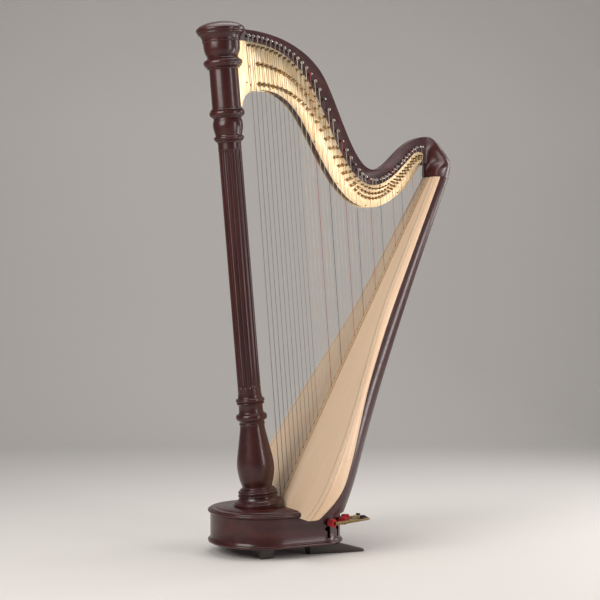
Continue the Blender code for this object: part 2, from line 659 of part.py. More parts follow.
def string_rib(material):
    """Hardwood strip on the board's face, pierced along the strings' direction for every string."""
    through = RIB_THICK / (math.sin(LEAN) + BOARD_SLOPE * math.cos(LEAN))
    rows = [(RIB_FOOT_Z, False, False)]
    for number in range(STRING_COUNT):
        for shift, pierced in ((-RIB_CLEAR, True), (RIB_CLEAR, False)):
            place = string_place(number) + shift
            rows.append((on_string(place, string_foot(place))[1], pierced, True))
    rows.append((RIB_TOP_Z, False, False))
    points, faces = [], []
    for level, _, slanted in rows:
        share = (level - RIB_FOOT_Z) / (RIB_TOP_Z - RIB_FOOT_Z)
        half = RIB_HALF_FOOT + (RIB_HALF_TOP - RIB_HALF_FOOT) * share
        back = Vector((string_line_x(level) - GAP, 0, level))
        front = back + Vector((-RIB_THICK, 0, 0))
        if slanted:
            front = back + leaning(0, 0, through)
        for middle in (front, back):
            for y in (-half, -RIB_HOLE, RIB_HOLE, half):
                points.append(middle + Vector((0, y, 0)))
    last = len(rows) - 1
    for k in range(last):
        a, b = 8 * k, 8 * (k + 1)
        pierced = rows[k][1]
        for strip in (0, 1, 2):
            if strip == 1 and pierced:
                continue
            faces.append((a + strip, a + strip + 1, b + strip + 1, b + strip))
            faces.append((a + 4 + strip, a + 5 + strip, b + 5 + strip, b + 4 + strip))
        faces.append((a, b, b + 4, a + 4))
        faces.append((a + 3, b + 3, b + 7, a + 7))
        if pierced:
            faces.append((a + 1, b + 1, b + 5, a + 5))
            faces.append((a + 2, b + 2, b + 6, a + 6))
            faces.append((a + 1, a + 2, a + 6, a + 5))
            faces.append((b + 1, b + 2, b + 6, b + 5))
    for k in (0, last):
        for strip in (0, 1, 2):
            a = 8 * k + strip
            faces.append((a, a + 1, a + 5, a + 4))
    return add_mesh("string_rib", points, faces, material)


# Base

def base_outline(inset, end_x=None):
    """Plan of the base, set in from its mouldings; end_x leaves out everything behind that line."""
    half, front, corner = BASE_HALF - inset, BASE_FRONT - inset, BASE_CORNER - inset
    power = 2 / BASE_SQUARE
    right = []
    for k in range(10):
        turn = math.pi / 2 * k / 9
        right.append((-front * math.cos(turn) ** power, half * math.sin(turn) ** power))
    if end_x is not None:
        right.append((end_x, half))
    else:
        for k in range(8):
            turn = math.pi / 2 * (1 - k / 7)
            y = BASE_HALF - BASE_CORNER + corner * math.sin(turn)
            right.append((BASE_CORNER_X + corner * math.cos(turn), y))
    left = [(x, -y) for x, y in right[1:]]
    return right + left[::-1]


def base_ring(inset, level, end_x=None):
    return [Vector((x, y, level)) for x, y in base_outline(inset, end_x)]


def base_bottom_plate(material):
    low, high = FLOOR_PLATE_Z
    rings = [
        base_ring(0.006, low), base_ring(0.001, low + 0.003), base_ring(0.0, low + 0.007),
        base_ring(0.003, high - 0.001), base_ring(0.006, high),
    ]
    points, faces = loft(rings)
    return add_mesh("base_bottom_plate", points, faces, material)


def slot_point(angle, offset=0.0):
    """Place on the drum's outer wall round a rear corner, moved outwards by offset."""
    turn = math.radians(abs(angle))
    side = math.copysign(1, angle)
    radius = BASE_CORNER - WALL_INSET + offset
    x = BASE_CORNER_X + radius * math.cos(turn)
    y = BASE_HALF - BASE_CORNER + radius * math.sin(turn)
    return Vector((x, side * y, 0))


def slot_cutter(note, angle, material):
    """Guide for a pedal slot through the drum, with its resting notch."""
    side = math.copysign(1, angle)
    turn = math.radians(abs(angle))
    out = Vector((math.cos(turn), side * math.sin(turn), 0))
    along = Vector((-out.y, out.x, 0)) * -side
    middle = slot_point(angle, -WALL_THICK / 2)
    low, high = SLOT_Z
    notch_z = (low + high) / 2
    half = SLOT_WIDTH / 2
    notch = half + NOTCH_DEEP
    outline = (
        (-half, low), (half, low), (half, high), (-half, high),
        (-half, notch_z + NOTCH_HALF), (-notch, notch_z + NOTCH_HALF - 0.001),
        (-notch, notch_z - NOTCH_HALF + 0.001), (-half, notch_z - NOTCH_HALF),
    )
    rings = []
    for reach in (-0.016, 0.016):
        rings.append([middle + out * reach + along * u + Vector((0, 0, z)) for u, z in outline])
    points, faces = loft(rings)
    return add_mesh("guide_slot_" + note, points, faces, material)


def base_drum(material):
    low, high = FLOOR_PLATE_Z[1] + GAP, DRUM_TOP_Z
    rings = [
        base_ring(WALL_INSET, low), base_ring(WALL_INSET, high),
        base_ring(WALL_INSET + WALL_THICK, high), base_ring(WALL_INSET + WALL_THICK, low),
    ]
    points, faces = loft(rings, loop=True)
    drum = add_mesh("base_drum", points, faces, material)
    for note, angle in zip(PEDAL_NOTES, SLOT_ANGLES):
        cut(drum, slot_cutter(note, angle, material))
    return drum


def base_top_plate(material):
    """Moulded cap over the front of the base, ending at the foot of the soundboard."""
    low, high = TOP_PLATE_Z
    steps = ((0.009, low), (0.003, low + 0.002), (0.0, low + 0.008), (0.002, low + 0.014),
             (0.010, low + 0.018), (0.022, low + 0.0185), (0.024, high))
    rings = [base_ring(inset, level, string_line_x(level) - TOP_PLATE_REAR) for inset, level in steps]
    points, faces = loft(rings)
    plate = add_mesh("base_top_plate", points, faces, material)
    hole = BORE + 0.003
    points, faces = loft([ring_on_axis(hole, 0.10, 24), ring_on_axis(hole, 0.20, 24)])
    cut(plate, add_mesh("guide_rod_hole", points, faces, material))
    return plate


def foot_block(name, rings, material):
    points, faces = loft(rings)
    item = add_mesh(name, points, faces, material)
    bevel = item.modifiers.new("soft_edges", "BEVEL")
    bevel.width = FOOT_EDGE
    bevel.segments = 1
    bevel.limit_method = "ANGLE"


def feet(material):
    """Two square feet in front, and two tapered ones that reach out behind the base."""
    top = FLOOR_PLATE_Z[0] - GAP
    for side, word in ((-1, "left"), (1, "right")):
        middle = Vector((FRONT_FOOT_X, side * FRONT_FOOT_Y, 0))
        corners = [Vector((u, v, 0)) * FRONT_FOOT_HALF for u, v in ((-1, -1), (1, -1), (1, 1), (-1, 1))]
        rings = [[middle + corner + Vector((0, 0, level)) for corner in corners] for level in (0.0, top)]
        foot_block("foot_front_" + word, rings, material)
        rings = []
        for x, offset, half, rise in REAR_FOOT:
            high = min(rise, top)
            near, far = side * offset - half, side * offset + half
            rings.append([Vector((x, y, z)) for y, z in ((near, 0), (far, 0), (far, high), (near, high))])
        foot_block("foot_rear_" + word, rings, material)


# Pedals and rods

def pedal_side(number):
    """Sideways place of an arm and its rod under the column."""
    return (number - 3) * PEDAL_PITCH


def pedal_path(number):
    """Plan of an arm: pivot, straight under the column, out through its slot, back towards the player."""
    angle = SLOT_ANGLES[number]
    y = pedal_side(number)
    inside, outside = slot_point(angle, -WALL_THICK - 0.004), slot_point(angle, ARM_REACH)
    tip = Vector((PEDAL_TIP_X, outside.y * TREAD_DRAW, 0))
    bend = ARM_BEND_X - ARM_BEND_STEP * abs(number - 3)
    return [Vector((PEDAL_X - ARM_HEEL, y, 0)), Vector((bend, y, 0)), inside, outside, tip]


def pedal_arm(number, material, joint):
    """Iron arm with a widened tread at its end, drilled for the pivot rod."""
    path = pedal_path(number)
    felt_end = path[3] + (path[3] - path[2]).normalized() * 0.002
    stations = [(path[0], 0, 0), (path[1], 0, 0), (path[2], 0, 0), (felt_end, 0, 0)]
    run = path[4] - felt_end
    for share, wide, high in TREAD:
        stations.append((felt_end + run * share, wide, high))
    places = [s[0] for s in stations]
    rings = []
    for k, (place, wide, high) in enumerate(stations):
        back = (places[k] - places[max(k - 1, 0)]) or (places[1] - places[0])
        ahead = (places[min(k + 1, len(places) - 1)] - places[k]) or back
        heading = (back.normalized() + ahead.normalized()).normalized()
        stretch = 1 / max(heading.dot(ahead.normalized()), 0.6)
        across = Vector((-heading.y, heading.x, 0)) * (ARM_WIDE + wide) / 2 * stretch
        rise = Vector((0, 0, (ARM_HIGH + high) / 2))
        rings.append([
            place + across - rise, place - across - rise,
            place - across + rise, place + across + rise,
        ])
    lift = Vector((0, 0, PEDAL_Z)) - PEDAL_PIVOT
    rings = [[p + lift for p in ring] for ring in rings]
    points, faces = loft(rings)
    arm = add_mesh("pedal_" + PEDAL_NOTES[number], points, faces, material, joint)
    middle, half = Vector((0, pedal_side(number), 0)), Vector((0, ARM_WIDE * 2, 0))
    name = "guide_pivot_" + PEDAL_NOTES[number]
    hole = round_bar(name, middle, half, PIVOT_RADIUS + PIVOT_FIT, 12, material, joint)
    cut(arm, hole)
    return arm


def round_bar(name, middle, half, radius, count, material, parent=None):
    """Solid cylinder from middle - half to middle + half."""
    axis = half.normalized()
    side = axis.orthogonal().normalized()
    up = axis.cross(side)
    rings = []
    for end in (middle - half, middle + half):
        turns = [2 * math.pi * i / count for i in range(count)]
        rings.append([end + radius * (side * math.cos(t) + up * math.sin(t)) for t in turns])
    points, faces = loft(rings)
    return add_mesh(name, points, faces, material, parent)


def pedal_felt(number, material, joint):
    """Red felt sleeve round the arm where it leaves the base."""
    path = pedal_path(number)
    heading = (path[3] - path[2]).normalized()
    start = slot_point(SLOT_ANGLES[number], FELT_OFF)
    side = Vector((-heading.y, heading.x, 0))
    on_path = path[2] + heading * (start - path[2]).dot(heading)
    outer, inner = [], []
    for share, radius in ((0.0, 0.84), (0.18, 1.0), (0.82, 1.0), (1.0, 0.84)):
        place = on_path + heading * (FELT_LONG * share) + Vector((0, 0, PEDAL_Z)) - PEDAL_PIVOT
        turns = [math.pi / 6 * i + math.pi / 12 for i in range(12)]
        reach = FELT_RADIUS * radius
        outer.append([place + reach * (side * math.cos(t) + Vector((0, 0, math.sin(t)))) for t in turns])
    half_wide, half_high = ARM_WIDE / 2 + FIT, ARM_HIGH / 2 + FIT
    for share in (1.0, 0.0):
        place = on_path + heading * (FELT_LONG * share) + Vector((0, 0, PEDAL_Z)) - PEDAL_PIVOT
        ring = []
        for i in range(12):
            turn = math.pi / 6 * i + math.pi / 12
            u, w = math.cos(turn), math.sin(turn)
            reach = 1 / max(abs(u), abs(w))
            ring.append(place + side * (half_wide * u * reach) + Vector((0, 0, half_high * w * reach)))
        inner.append(ring)
    points, faces = loft(outer + inner, loop=True)
    return add_mesh("pedal_felt_" + PEDAL_NOTES[number], points, faces, material, joint)


def pedal_rod(number, material):
    low = leaning(0, pedal_side(number), ROD_FOOT_Z / math.cos(LEAN))
    high = leaning(0, pedal_side(number), ROD_TOP_Z / math.cos(LEAN))
    name = "pedal_rod_" + PEDAL_NOTES[number]
    return round_bar(name, (low + high) / 2, (high - low) / 2, ROD_RADIUS, 8, material)


def pedals(arm_material, felt_material, rod_material):
    for number, note in enumerate(PEDAL_NOTES):
        joint = bpy.data.objects.new("pivot_" + note, None)
        joint.location = PEDAL_PIVOT + ORIGIN_SHIFT
        bpy.context.scene.collection.objects.link(joint)
        bpy.context.view_layer.update()
        pedal_arm(number, arm_material, joint)
        pedal_felt(number, felt_material, joint)
        pedal_rod(number, rod_material)


def pivot_rod(material):
    return round_bar("pivot_rod", PEDAL_PIVOT, Vector((0, PIVOT_HALF, 0)), PIVOT_RADIUS, 12, material)


def pivot_block(material):
    """Block on the base's floor with two cheeks that carry the pivot rod."""
    low, floor = FLOOR_PLATE_Z[1] + GAP, FLOOR_PLATE_Z[1] + BLOCK_FLOOR
    high = PEDAL_Z + CHEEK_RISE
    outline = ((-CHEEK_OUT, low), (CHEEK_OUT, low), (CHEEK_OUT, high), (CHEEK_IN, high), (CHEEK_IN, floor),
               (-CHEEK_IN, floor), (-CHEEK_IN, high), (-CHEEK_OUT, high))
    rings = [[Vector((x, y, z)) for y, z in outline] for x in (PEDAL_X - BLOCK_HALF, PEDAL_X + BLOCK_HALF)]
    points, faces = loft(rings)
    block = add_mesh("pivot_block", points, faces, material)
    hole = round_bar("guide_pivot_block", PEDAL_PIVOT, Vector((0, 0.060, 0)),
                     PIVOT_RADIUS + GAP, 12, material)
    cut(block, hole)
    return block


# Discs

def disc_mesh(material):
    """Fork disc with two prongs, its face towards -Y and its axis through its own origin."""
    middle, half = Vector((0, 0, 0)), Vector((0, DISC_THICK / 2, 0))
    body = round_bar("guide_disc_body", middle, half, DISC_RADIUS, 14, material)
    for side in (-1, 1):
        middle = Vector((side * PRONG_REACH, -DISC_THICK / 2 - PRONG_LONG / 2 + 0.0005, 0))
        half = Vector((0, PRONG_LONG / 2 + 0.0005, 0))
        prong = round_bar("guide_prong", middle, half, PRONG_RADIUS, 6, material)
        prong.hide_render = True
        join = body.modifiers.new("prong", "BOOLEAN")
        join.operation = "UNION"
        join.object = prong
    bpy.context.view_layer.update()
    mesh = bpy.data.meshes.new_from_object(body.evaluated_get(bpy.context.evaluated_depsgraph_get()))
    for item in [o for o in bpy.data.objects if o.name.startswith(("guide_disc", "guide_prong"))]:
        bpy.data.objects.remove(item, do_unlink=True)
    mesh.shade_smooth()
    mesh.set_sharp_from_angle(angle=math.radians(40))
    return mesh


def discs(material):
    mesh = disc_mesh(material)
    for k, note in enumerate(DISC_NOTES):
        place = string_place(FIRST_DISC_STRING + k)
        foot, head = string_foot(place), string_head(place)
        for row, drop, start in DISC_ROWS:
            along = head - drop * (head - foot)
            x, z = on_string(place, along)
            y = neck_left(x) - GAP - PLATE_THICK - DISC_CLEAR - DISC_THICK / 2
            item = bpy.data.objects.new(f"disc_{row}_{note}3", mesh.copy())
            item.location = Vector((x, y, z)) + ORIGIN_SHIFT
            item.rotation_euler = (0, -LEAN + math.pi / 2 - start, 0)
            bpy.context.scene.collection.objects.link(item)


def build():
    clear_scene()
    mahogany = finish("mahogany", MAHOGANY, 0.22)
    maple = finish("maple", MAPLE, 0.4)
    spruce = finish("spruce", SPRUCE, 0.45)
    brass = finish("brass", BRASS, 0.25, 1.0)
    iron = finish("iron", IRON, 0.4, 0.8)
    steel = finish("steel", STEEL, 0.3, 1.0)
    felt = finish("felt", FELT_RED, 0.95)
    wire = finish("wire", WIRE, 0.4, 0.9)
    gut = finish("gut", GUT, 0.5)
    foot_pad = finish("foot_pad", FOOT_PAD, 0.7)

    vase = turned("column_vase", VASE_PROFILE, mahogany, foot_level=TOP_PLATE_Z[1] + GAP)
    trim_foot(vase, mahogany)
    column_shaft(mahogany)
    turned("column_collar", COLLAR_PROFILE, mahogany)
    column_capital(mahogany)

    clearance = column_clearance(mahogany)
    neck(mahogany, clearance)
    action_plate("action_plate_left", neck_left, -1, brass, clearance)
    action_plate("action_plate_right", neck_right, 1, brass, clearance)
    shoulder_cap(mahogany)

    soundboard(spruce)
    string_rib(maple)
    edge_band("edge_band_left", -1, maple)
    edge_band("edge_band_right", 1, maple)
    soundbox_shell(mahogany)
    tail_block(mahogany)
    string_comb("bass_wire_strings", range(BASS_WIRES), wire)
    string_comb("gut_strings", range(BASS_WIRES, STRING_COUNT), gut)

    base_bottom_plate(mahogany)
    base_drum(mahogany)
    base_top_plate(mahogany)
    feet(foot_pad)
    pivot_rod(steel)
    pivot_block(iron)
    pedals(iron, felt, steel)
    discs(brass)


build()
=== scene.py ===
import json
import math

import bmesh
import bpy
from mathutils import Matrix, Vector, noise


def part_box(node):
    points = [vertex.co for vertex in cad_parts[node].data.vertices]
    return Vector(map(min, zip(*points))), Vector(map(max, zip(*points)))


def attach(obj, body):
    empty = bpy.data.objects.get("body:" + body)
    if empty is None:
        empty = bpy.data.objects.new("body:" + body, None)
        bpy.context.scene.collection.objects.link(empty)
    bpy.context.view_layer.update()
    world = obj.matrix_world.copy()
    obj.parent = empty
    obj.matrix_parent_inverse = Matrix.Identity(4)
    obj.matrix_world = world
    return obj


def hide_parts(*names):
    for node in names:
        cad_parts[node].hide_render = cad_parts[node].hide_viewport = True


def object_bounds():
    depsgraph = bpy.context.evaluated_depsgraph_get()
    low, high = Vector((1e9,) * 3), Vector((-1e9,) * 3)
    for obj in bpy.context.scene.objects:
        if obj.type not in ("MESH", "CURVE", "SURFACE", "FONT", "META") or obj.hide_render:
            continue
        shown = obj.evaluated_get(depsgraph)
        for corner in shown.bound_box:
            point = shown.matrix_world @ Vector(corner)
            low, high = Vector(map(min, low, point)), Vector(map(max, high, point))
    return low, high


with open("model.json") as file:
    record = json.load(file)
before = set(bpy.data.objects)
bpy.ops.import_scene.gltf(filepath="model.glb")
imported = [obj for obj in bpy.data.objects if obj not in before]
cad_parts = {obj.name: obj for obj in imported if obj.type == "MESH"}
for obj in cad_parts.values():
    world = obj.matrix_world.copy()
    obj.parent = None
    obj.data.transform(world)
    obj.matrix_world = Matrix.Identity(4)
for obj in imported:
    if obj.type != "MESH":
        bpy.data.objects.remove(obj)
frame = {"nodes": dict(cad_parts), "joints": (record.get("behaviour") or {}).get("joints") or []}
cad_low, cad_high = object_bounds()

# Read from the frame
JOINTS = {joint["name"]: joint for joint in frame["joints"]}
UP = Vector(JOINTS["rod_E_slide"]["axis"]).normalized()        # column and strings lean along this
ACROSS = Vector((UP.z, 0.0, -UP.x))
PIVOT = Vector(JOINTS["pedal_E_press"]["pos_m"])
PIVOT_BEFORE_FOOT = 0.100           # the pedal pivot stands in front of the column's foot
FOOT = Vector((PIVOT.x + PIVOT_BEFORE_FOOT, 0.0, 0.0))          # where the column's axis meets the floor


def box_from_foot(node):
    low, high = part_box(node)
    return low - FOOT, high - FOOT


BOARD_LOW, BOARD_HIGH = box_from_foot("soundboard")
BASE_LOW, BASE_HIGH = box_from_foot("base_bottom_plate")
DRUM_LOW, DRUM_HIGH = box_from_foot("base_drum")
TOP_LOW, TOP_HIGH = box_from_foot("base_top_plate")
SHOULDER_LOW, SHOULDER_HIGH = box_from_foot("shoulder_cap")

# Column
BORE = 0.028
ROUND = 96                          # facets of a large turned piece
ARRIS = 0.0007                      # width of the small bevel on a turned edge
FLUTES = 16
SHAFT_RADIUS = 0.0412
FLUTE_DEPTH, FLUTE_SHARE = 0.0044, 0.82         # the share of the pitch that a flute takes up
FLUTE_MARGIN, FLUTE_SCOOP = 0.020, 0.016       # from the shaft's end to a flute, and its round end
SHAFT_ENDS = (0.5683, 1.4577)

# Soundbox
BOARD_THICK = 0.009
BODY_FOOT, BODY_TOP = BOARD_LOW.z, BOARD_HIGH.z
LINE_FOOT, LINE_TOP = BOARD_LOW.x, BOARD_HIGH.x - BOARD_THICK
BOARD_SLOPE = (LINE_TOP - LINE_FOOT) / (BODY_TOP - BODY_FOOT)
BAND_WALL, SHELL_WALL = 0.012, 0.005
BOARD_HALF_TOP, BOARD_TAPER = 0.046, 0.130
WING_OUT, WING_TOP, WING_HIGH = 0.105, 0.97, 0.67
SHELL_HALF_TOP, SHELL_TAPER = 0.040, 0.128
BAND_DEPTH_TOP, BAND_TAPER = 0.028, 0.030
SWELL_DEEP, SWELL_TOP, SWELL_HIGH = 0.045, 0.62, 0.42
BODY_DEPTH_FOOT, BODY_TAPER, BODY_HOLLOW = 0.241, 0.130, 0.016
CORNER_TOP, CORNER_HIGH = 0.27, 0.128          # the bottom corners of board and bands are drawn in
CORNER_IN, BAND_CORNER = 0.048, 0.044
BAND_ROUND, SHELL_ROUND = 0.85, 0.86           # below one, a round section is fuller
SOUND_HOLE_LEVELS = (0.34, 0.53, 0.71, 0.88, 1.04)
SOUND_HOLE_HALF_HIGH = 0.060
RIM_RADIUS = 0.0018
RIB_THICK = 0.006
RIB_HALF_TOP, RIB_HALF_FOOT = 0.0075, 0.0105
GAP = 0.0003

# Shoulder
SHOULDER_RISE, SHOULDER_BULGE = 0.152, 0.045
SHOULDER_HALF_FOOT, SHOULDER_HALF_TOP = 0.047, 0.0149
SHOULDER_TURN = 0.022
SHOULDER_ROUND = 0.95
NARROW_START, NARROW_HIGH = 0.030, 0.098       # it narrows over this rise above the soundbox
FLARE_START, FLARE_HIGH = 0.012, 0.055
FLARE_LEAST, FLARE_MOST = 0.002, 0.58          # a length, and a share of the shoulder's reach
NECK_END_HALF, NECK_END_Y, NECK_LAP = 0.0145, 0.0221, 0.0050
SHOULDER_FLARE = 0.056              # the shoulder widens over this length behind the end of the neck

# Neck and action
NECK_HALF, NECK_START = 0.022, -0.10
LEFT_SLANT, RIGHT_SLANT = 0.038, 0.018
PLATE_THICK = 0.003
NECK_FRONT, NECK_BACK = -0.140, 0.6890         # the outlines' front end and the start of their flat back end

# Strings
STRING_COUNT, BASS_WIRES = 47, 11
FIRST_STRING, FIRST_SPACING, SPACING_STEP = 0.0897, 0.0179, 0.000125
PIN_INSET, STRING_CLEAR = 0.014, 0.0082
NATURAL_DROP, SHARP_DROP = 0.0435, 0.089
NATURAL_START, SHARP_START = math.radians(68), math.radians(76)
TREBLE_STRINGS, BASS_DROP = 16, 0.0048         # discs stand lower in the treble, higher in the deep bass
TREBLE_NATURAL_DROP, TREBLE_SHARP_DROP = 0.0120, 0.0200
FIRST_MOVING_DISC, LAST_MOVING_DISC = 14, 20
MOVING_DISC_RADIUS = 0.0071
LARGEST_DISC, DISC_SHRINK, DISC_FIT = 0.0092, 0.000105, 0.48
DISC_CLEAR = 0.0006                 # discs stand this far off the plate
SCALE_NOTES = "CDEFGAB"
TUNING_OFFSET = 0.0185              # tuning pins stand this far outside the plate's upper edge
TUNING_RADIUS = 0.0033
THROUGH_RIB = RIB_THICK / (BOARD_SLOPE * UP.z - UP.x)      # length of a string inside the rib
THICK_STRINGS = 24                  # strings with the larger bridge pins
COIL_FACETS, COIL_POINTS, COIL_PITCH = 12, 31, 2.1

# Base and pedals
BASE_HALF, BASE_FRONT = BASE_HIGH.y, -BASE_LOW.x
BASE_CORNER = 0.120
BASE_CORNER_X = BASE_HIGH.x - BASE_CORNER
BASE_SQUARE = 2.1
WALL_INSET = BASE_HALF - DRUM_HIGH.y
WALL_THICK = 0.012
PEDAL_NOTES = "DCBEFGA"
SLOT_ANGLES = (-78, -50, -22, 6, 30, 54, 78)
SLOT_LOW, SLOT_HIGH, SLOT_WIDTH = 0.062, 0.1285, 0.013
NOTCH_DEEP, NOTCH_HALF, NOTCH_MOUTH = 0.009, 0.006, 0.007
SLOT_CUT = 0.016                    # the slot cutter reaches this far to both sides of the wall's middle
PEDAL_PITCH = 0.008
PEDAL_TIP_X = 0.338
TREAD_RIBS = 6
ARM_WIDE, ARM_HIGH = 0.006, 0.012
FELT_RADIUS, FELT_LONG, FELT_OFF = 0.0150, 0.028, 0.0055
FELT_PULL, FELT_WAIST, FELT_OVERLAP = 0.20, 0.035, 0.03

SIDES = (("left", -1), ("right", 1))
CORNERS = ((-1, -1), (1, -1), (1, 1), (-1, 1))
VIEW = Vector((0.445, 0.8955, 0))   # level line from the camera to the harp
VIEW_SIDE = Vector((VIEW.y, -VIEW.x, 0))


# ---------------------------------------------------------------- mesh helpers

def leaning(across, side, along):
    return ACROSS * across + Vector((0, side, 0)) + UP * along


def smooth_step(t):
    t = min(max(t, 0.0), 1.0)
    return t * t * (3 - 2 * t)


def spread(low, high, count):
    return [low + (high - low) * k / (count - 1) for k in range(count)]


def turns_of(count):
    """Equal turns once round a circle."""
    return [2 * math.pi * k / count for k in range(count)]


def through(points, steps):
    """A smooth curve through every point."""
    points = [Vector(p) for p in points]
    ends = [2 * points[0] - points[1], *points, 2 * points[-1] - points[-2]]
    curve = []
    for a, b, c, d in zip(ends, ends[1:], ends[2:], ends[3:]):
        for k in range(steps):
            t = k / steps
            bend = (2 * a - 5 * b + 4 * c - d) * t * t + (3 * b - a - 3 * c + d) * t ** 3
            curve.append(0.5 * (2 * b + (c - a) * t + bend))
    return curve + [points[-1]]


def bezier(start, leave, arrive, end, steps):
    """A cubic curve without its last point."""
    a, b, c, d = [Vector(p) for p in (start, leave, arrive, end)]
    curve = []
    for k in range(steps):
        t = k / steps
        s = 1 - t
        curve.append(a * s ** 3 + b * 3 * s * s * t + c * 3 * s * t * t + d * t ** 3)
    return curve


def chained(points, counts):
    """Cubic curves end to end without the last point; every third point is passed through."""
    curve = []
    for k, count in enumerate(counts):
        curve += bezier(*points[3 * k:3 * k + 4], count)
    return curve


def rounded_box(half_wide, half_high, edge):
    """Outline of a rectangle with rounded corners, as (across, up) pairs."""
    outline = []
    for (u, v), start in zip(((1, -1), (1, 1), (-1, 1), (-1, -1)), (270, 0, 90, 180)):
        for k in range(4):
            turn = math.radians(start + 30 * k)
            across = u * (half_wide - edge) + edge * math.cos(turn)
            outline.append((across, v * (half_high - edge) + edge * math.sin(turn)))
    return outline


def skin(rings, loop=False):
    """Points and faces over equal rings, with end caps or as a closed loop of rings."""
    count = len(rings[0])
    points = [p for ring in rings for p in ring]
    faces = []
    for k in range(len(rings) if loop else len(rings) - 1):
        a, b = k * count, (k + 1) % len(rings) * count
        for i in range(count):
            j = (i + 1) % count
            faces.append((a + i, a + j, b + j, b + i))
    if not loop:
        faces.append(tuple(range(count)))
        faces.append(tuple(range(len(points) - count, len(points))))
    return points, faces


def shade(mesh, sharp):
    mesh.shade_smooth()
    mesh.set_sharp_from_angle(angle=math.radians(sharp))


def solid(name, points, faces, sharp=38):
    """An object placed from the column's foot, with its faces turned outwards."""
    mesh = bpy.data.meshes.new(name)
    mesh.from_pydata([tuple(p) for p in points], [], faces)
    shape = bmesh.new()
    shape.from_mesh(mesh)
    bmesh.ops.recalc_face_normals(shape, faces=shape.faces)
    shape.to_mesh(mesh)
    shape.free()
    shade(mesh, sharp)
    item = bpy.data.objects.new(name, mesh)
    item.location = FOOT
    bpy.context.scene.collection.objects.link(item)
    return item


def carve(item, cutters, sharp=38):
    """Cuts the cutters out of item for good and removes them."""
    for cutter in cutters:
        cut = item.modifiers.new("cut", "BOOLEAN")
        cut.operation = "DIFFERENCE"
        cut.solver = "EXACT"
        cut.object = cutter
    bpy.context.view_layer.update()
    graph = bpy.context.evaluated_depsgraph_get()
    mesh = bpy.data.meshes.new_from_object(item.evaluated_get(graph))
    item.modifiers.clear()
    item.data = mesh
    shade(mesh, sharp)
    for cutter in cutters:
        bpy.data.objects.remove(cutter, do_unlink=True)
    return item


def dress(item, look, nodes=(), body="harp_frame"):
    """Gives a piece its material and its body, and hides the CAD nodes it stands for."""
    item.data.materials.clear()
    item.data.materials.append(look)
    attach(item, body)
    if nodes:
        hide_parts(*nodes)
    return item


def spun_rings(profile, count):
    """Rings of a small turned shape: (radius, height) pairs, its axis along -Y."""
    turns = turns_of(count)
    return [[Vector((r * math.cos(t), -h, r * math.sin(t))) for t in turns] for r, h in profile]


def spun(profile, count=20):
    """A small turned shape, closed at both ends."""
    return skin(spun_rings(profile, count))


def moved(shape, matrix):
    """Points and faces of a shape, put in place by a matrix."""
    return [matrix @ point for point in shape[0]], shape[1]


def merged(shapes):
    points, faces = [], []
    for more_points, more_faces in shapes:
        start = len(points)
        points += more_points
        faces += [tuple(start + i for i in face) for face in more_faces]
    return points, faces


def scatter(name, shape, places):
    """One object of many copies of a small shape."""
    return solid(name, *merged([moved(shape, place) for place in places]))


def tube(path, radius, sides=8):
    """Points and faces of a round wire along a path."""
    rings = []
    side = (path[1] - path[0]).normalized().orthogonal().normalized()
    for k, place in enumerate(path):
        ahead = path[min(k + 1, len(path) - 1)] - path[max(k - 1, 0)]
        heading = ahead.normalized()
        side = (side - heading * side.dot(heading)).normalized()
        up = heading.cross(side)
        rings.append([place + radius * (side * math.cos(t) + up * math.sin(t)) for t in turns_of(sides)])
    return skin(rings)


# ---------------------------------------------------------------- materials

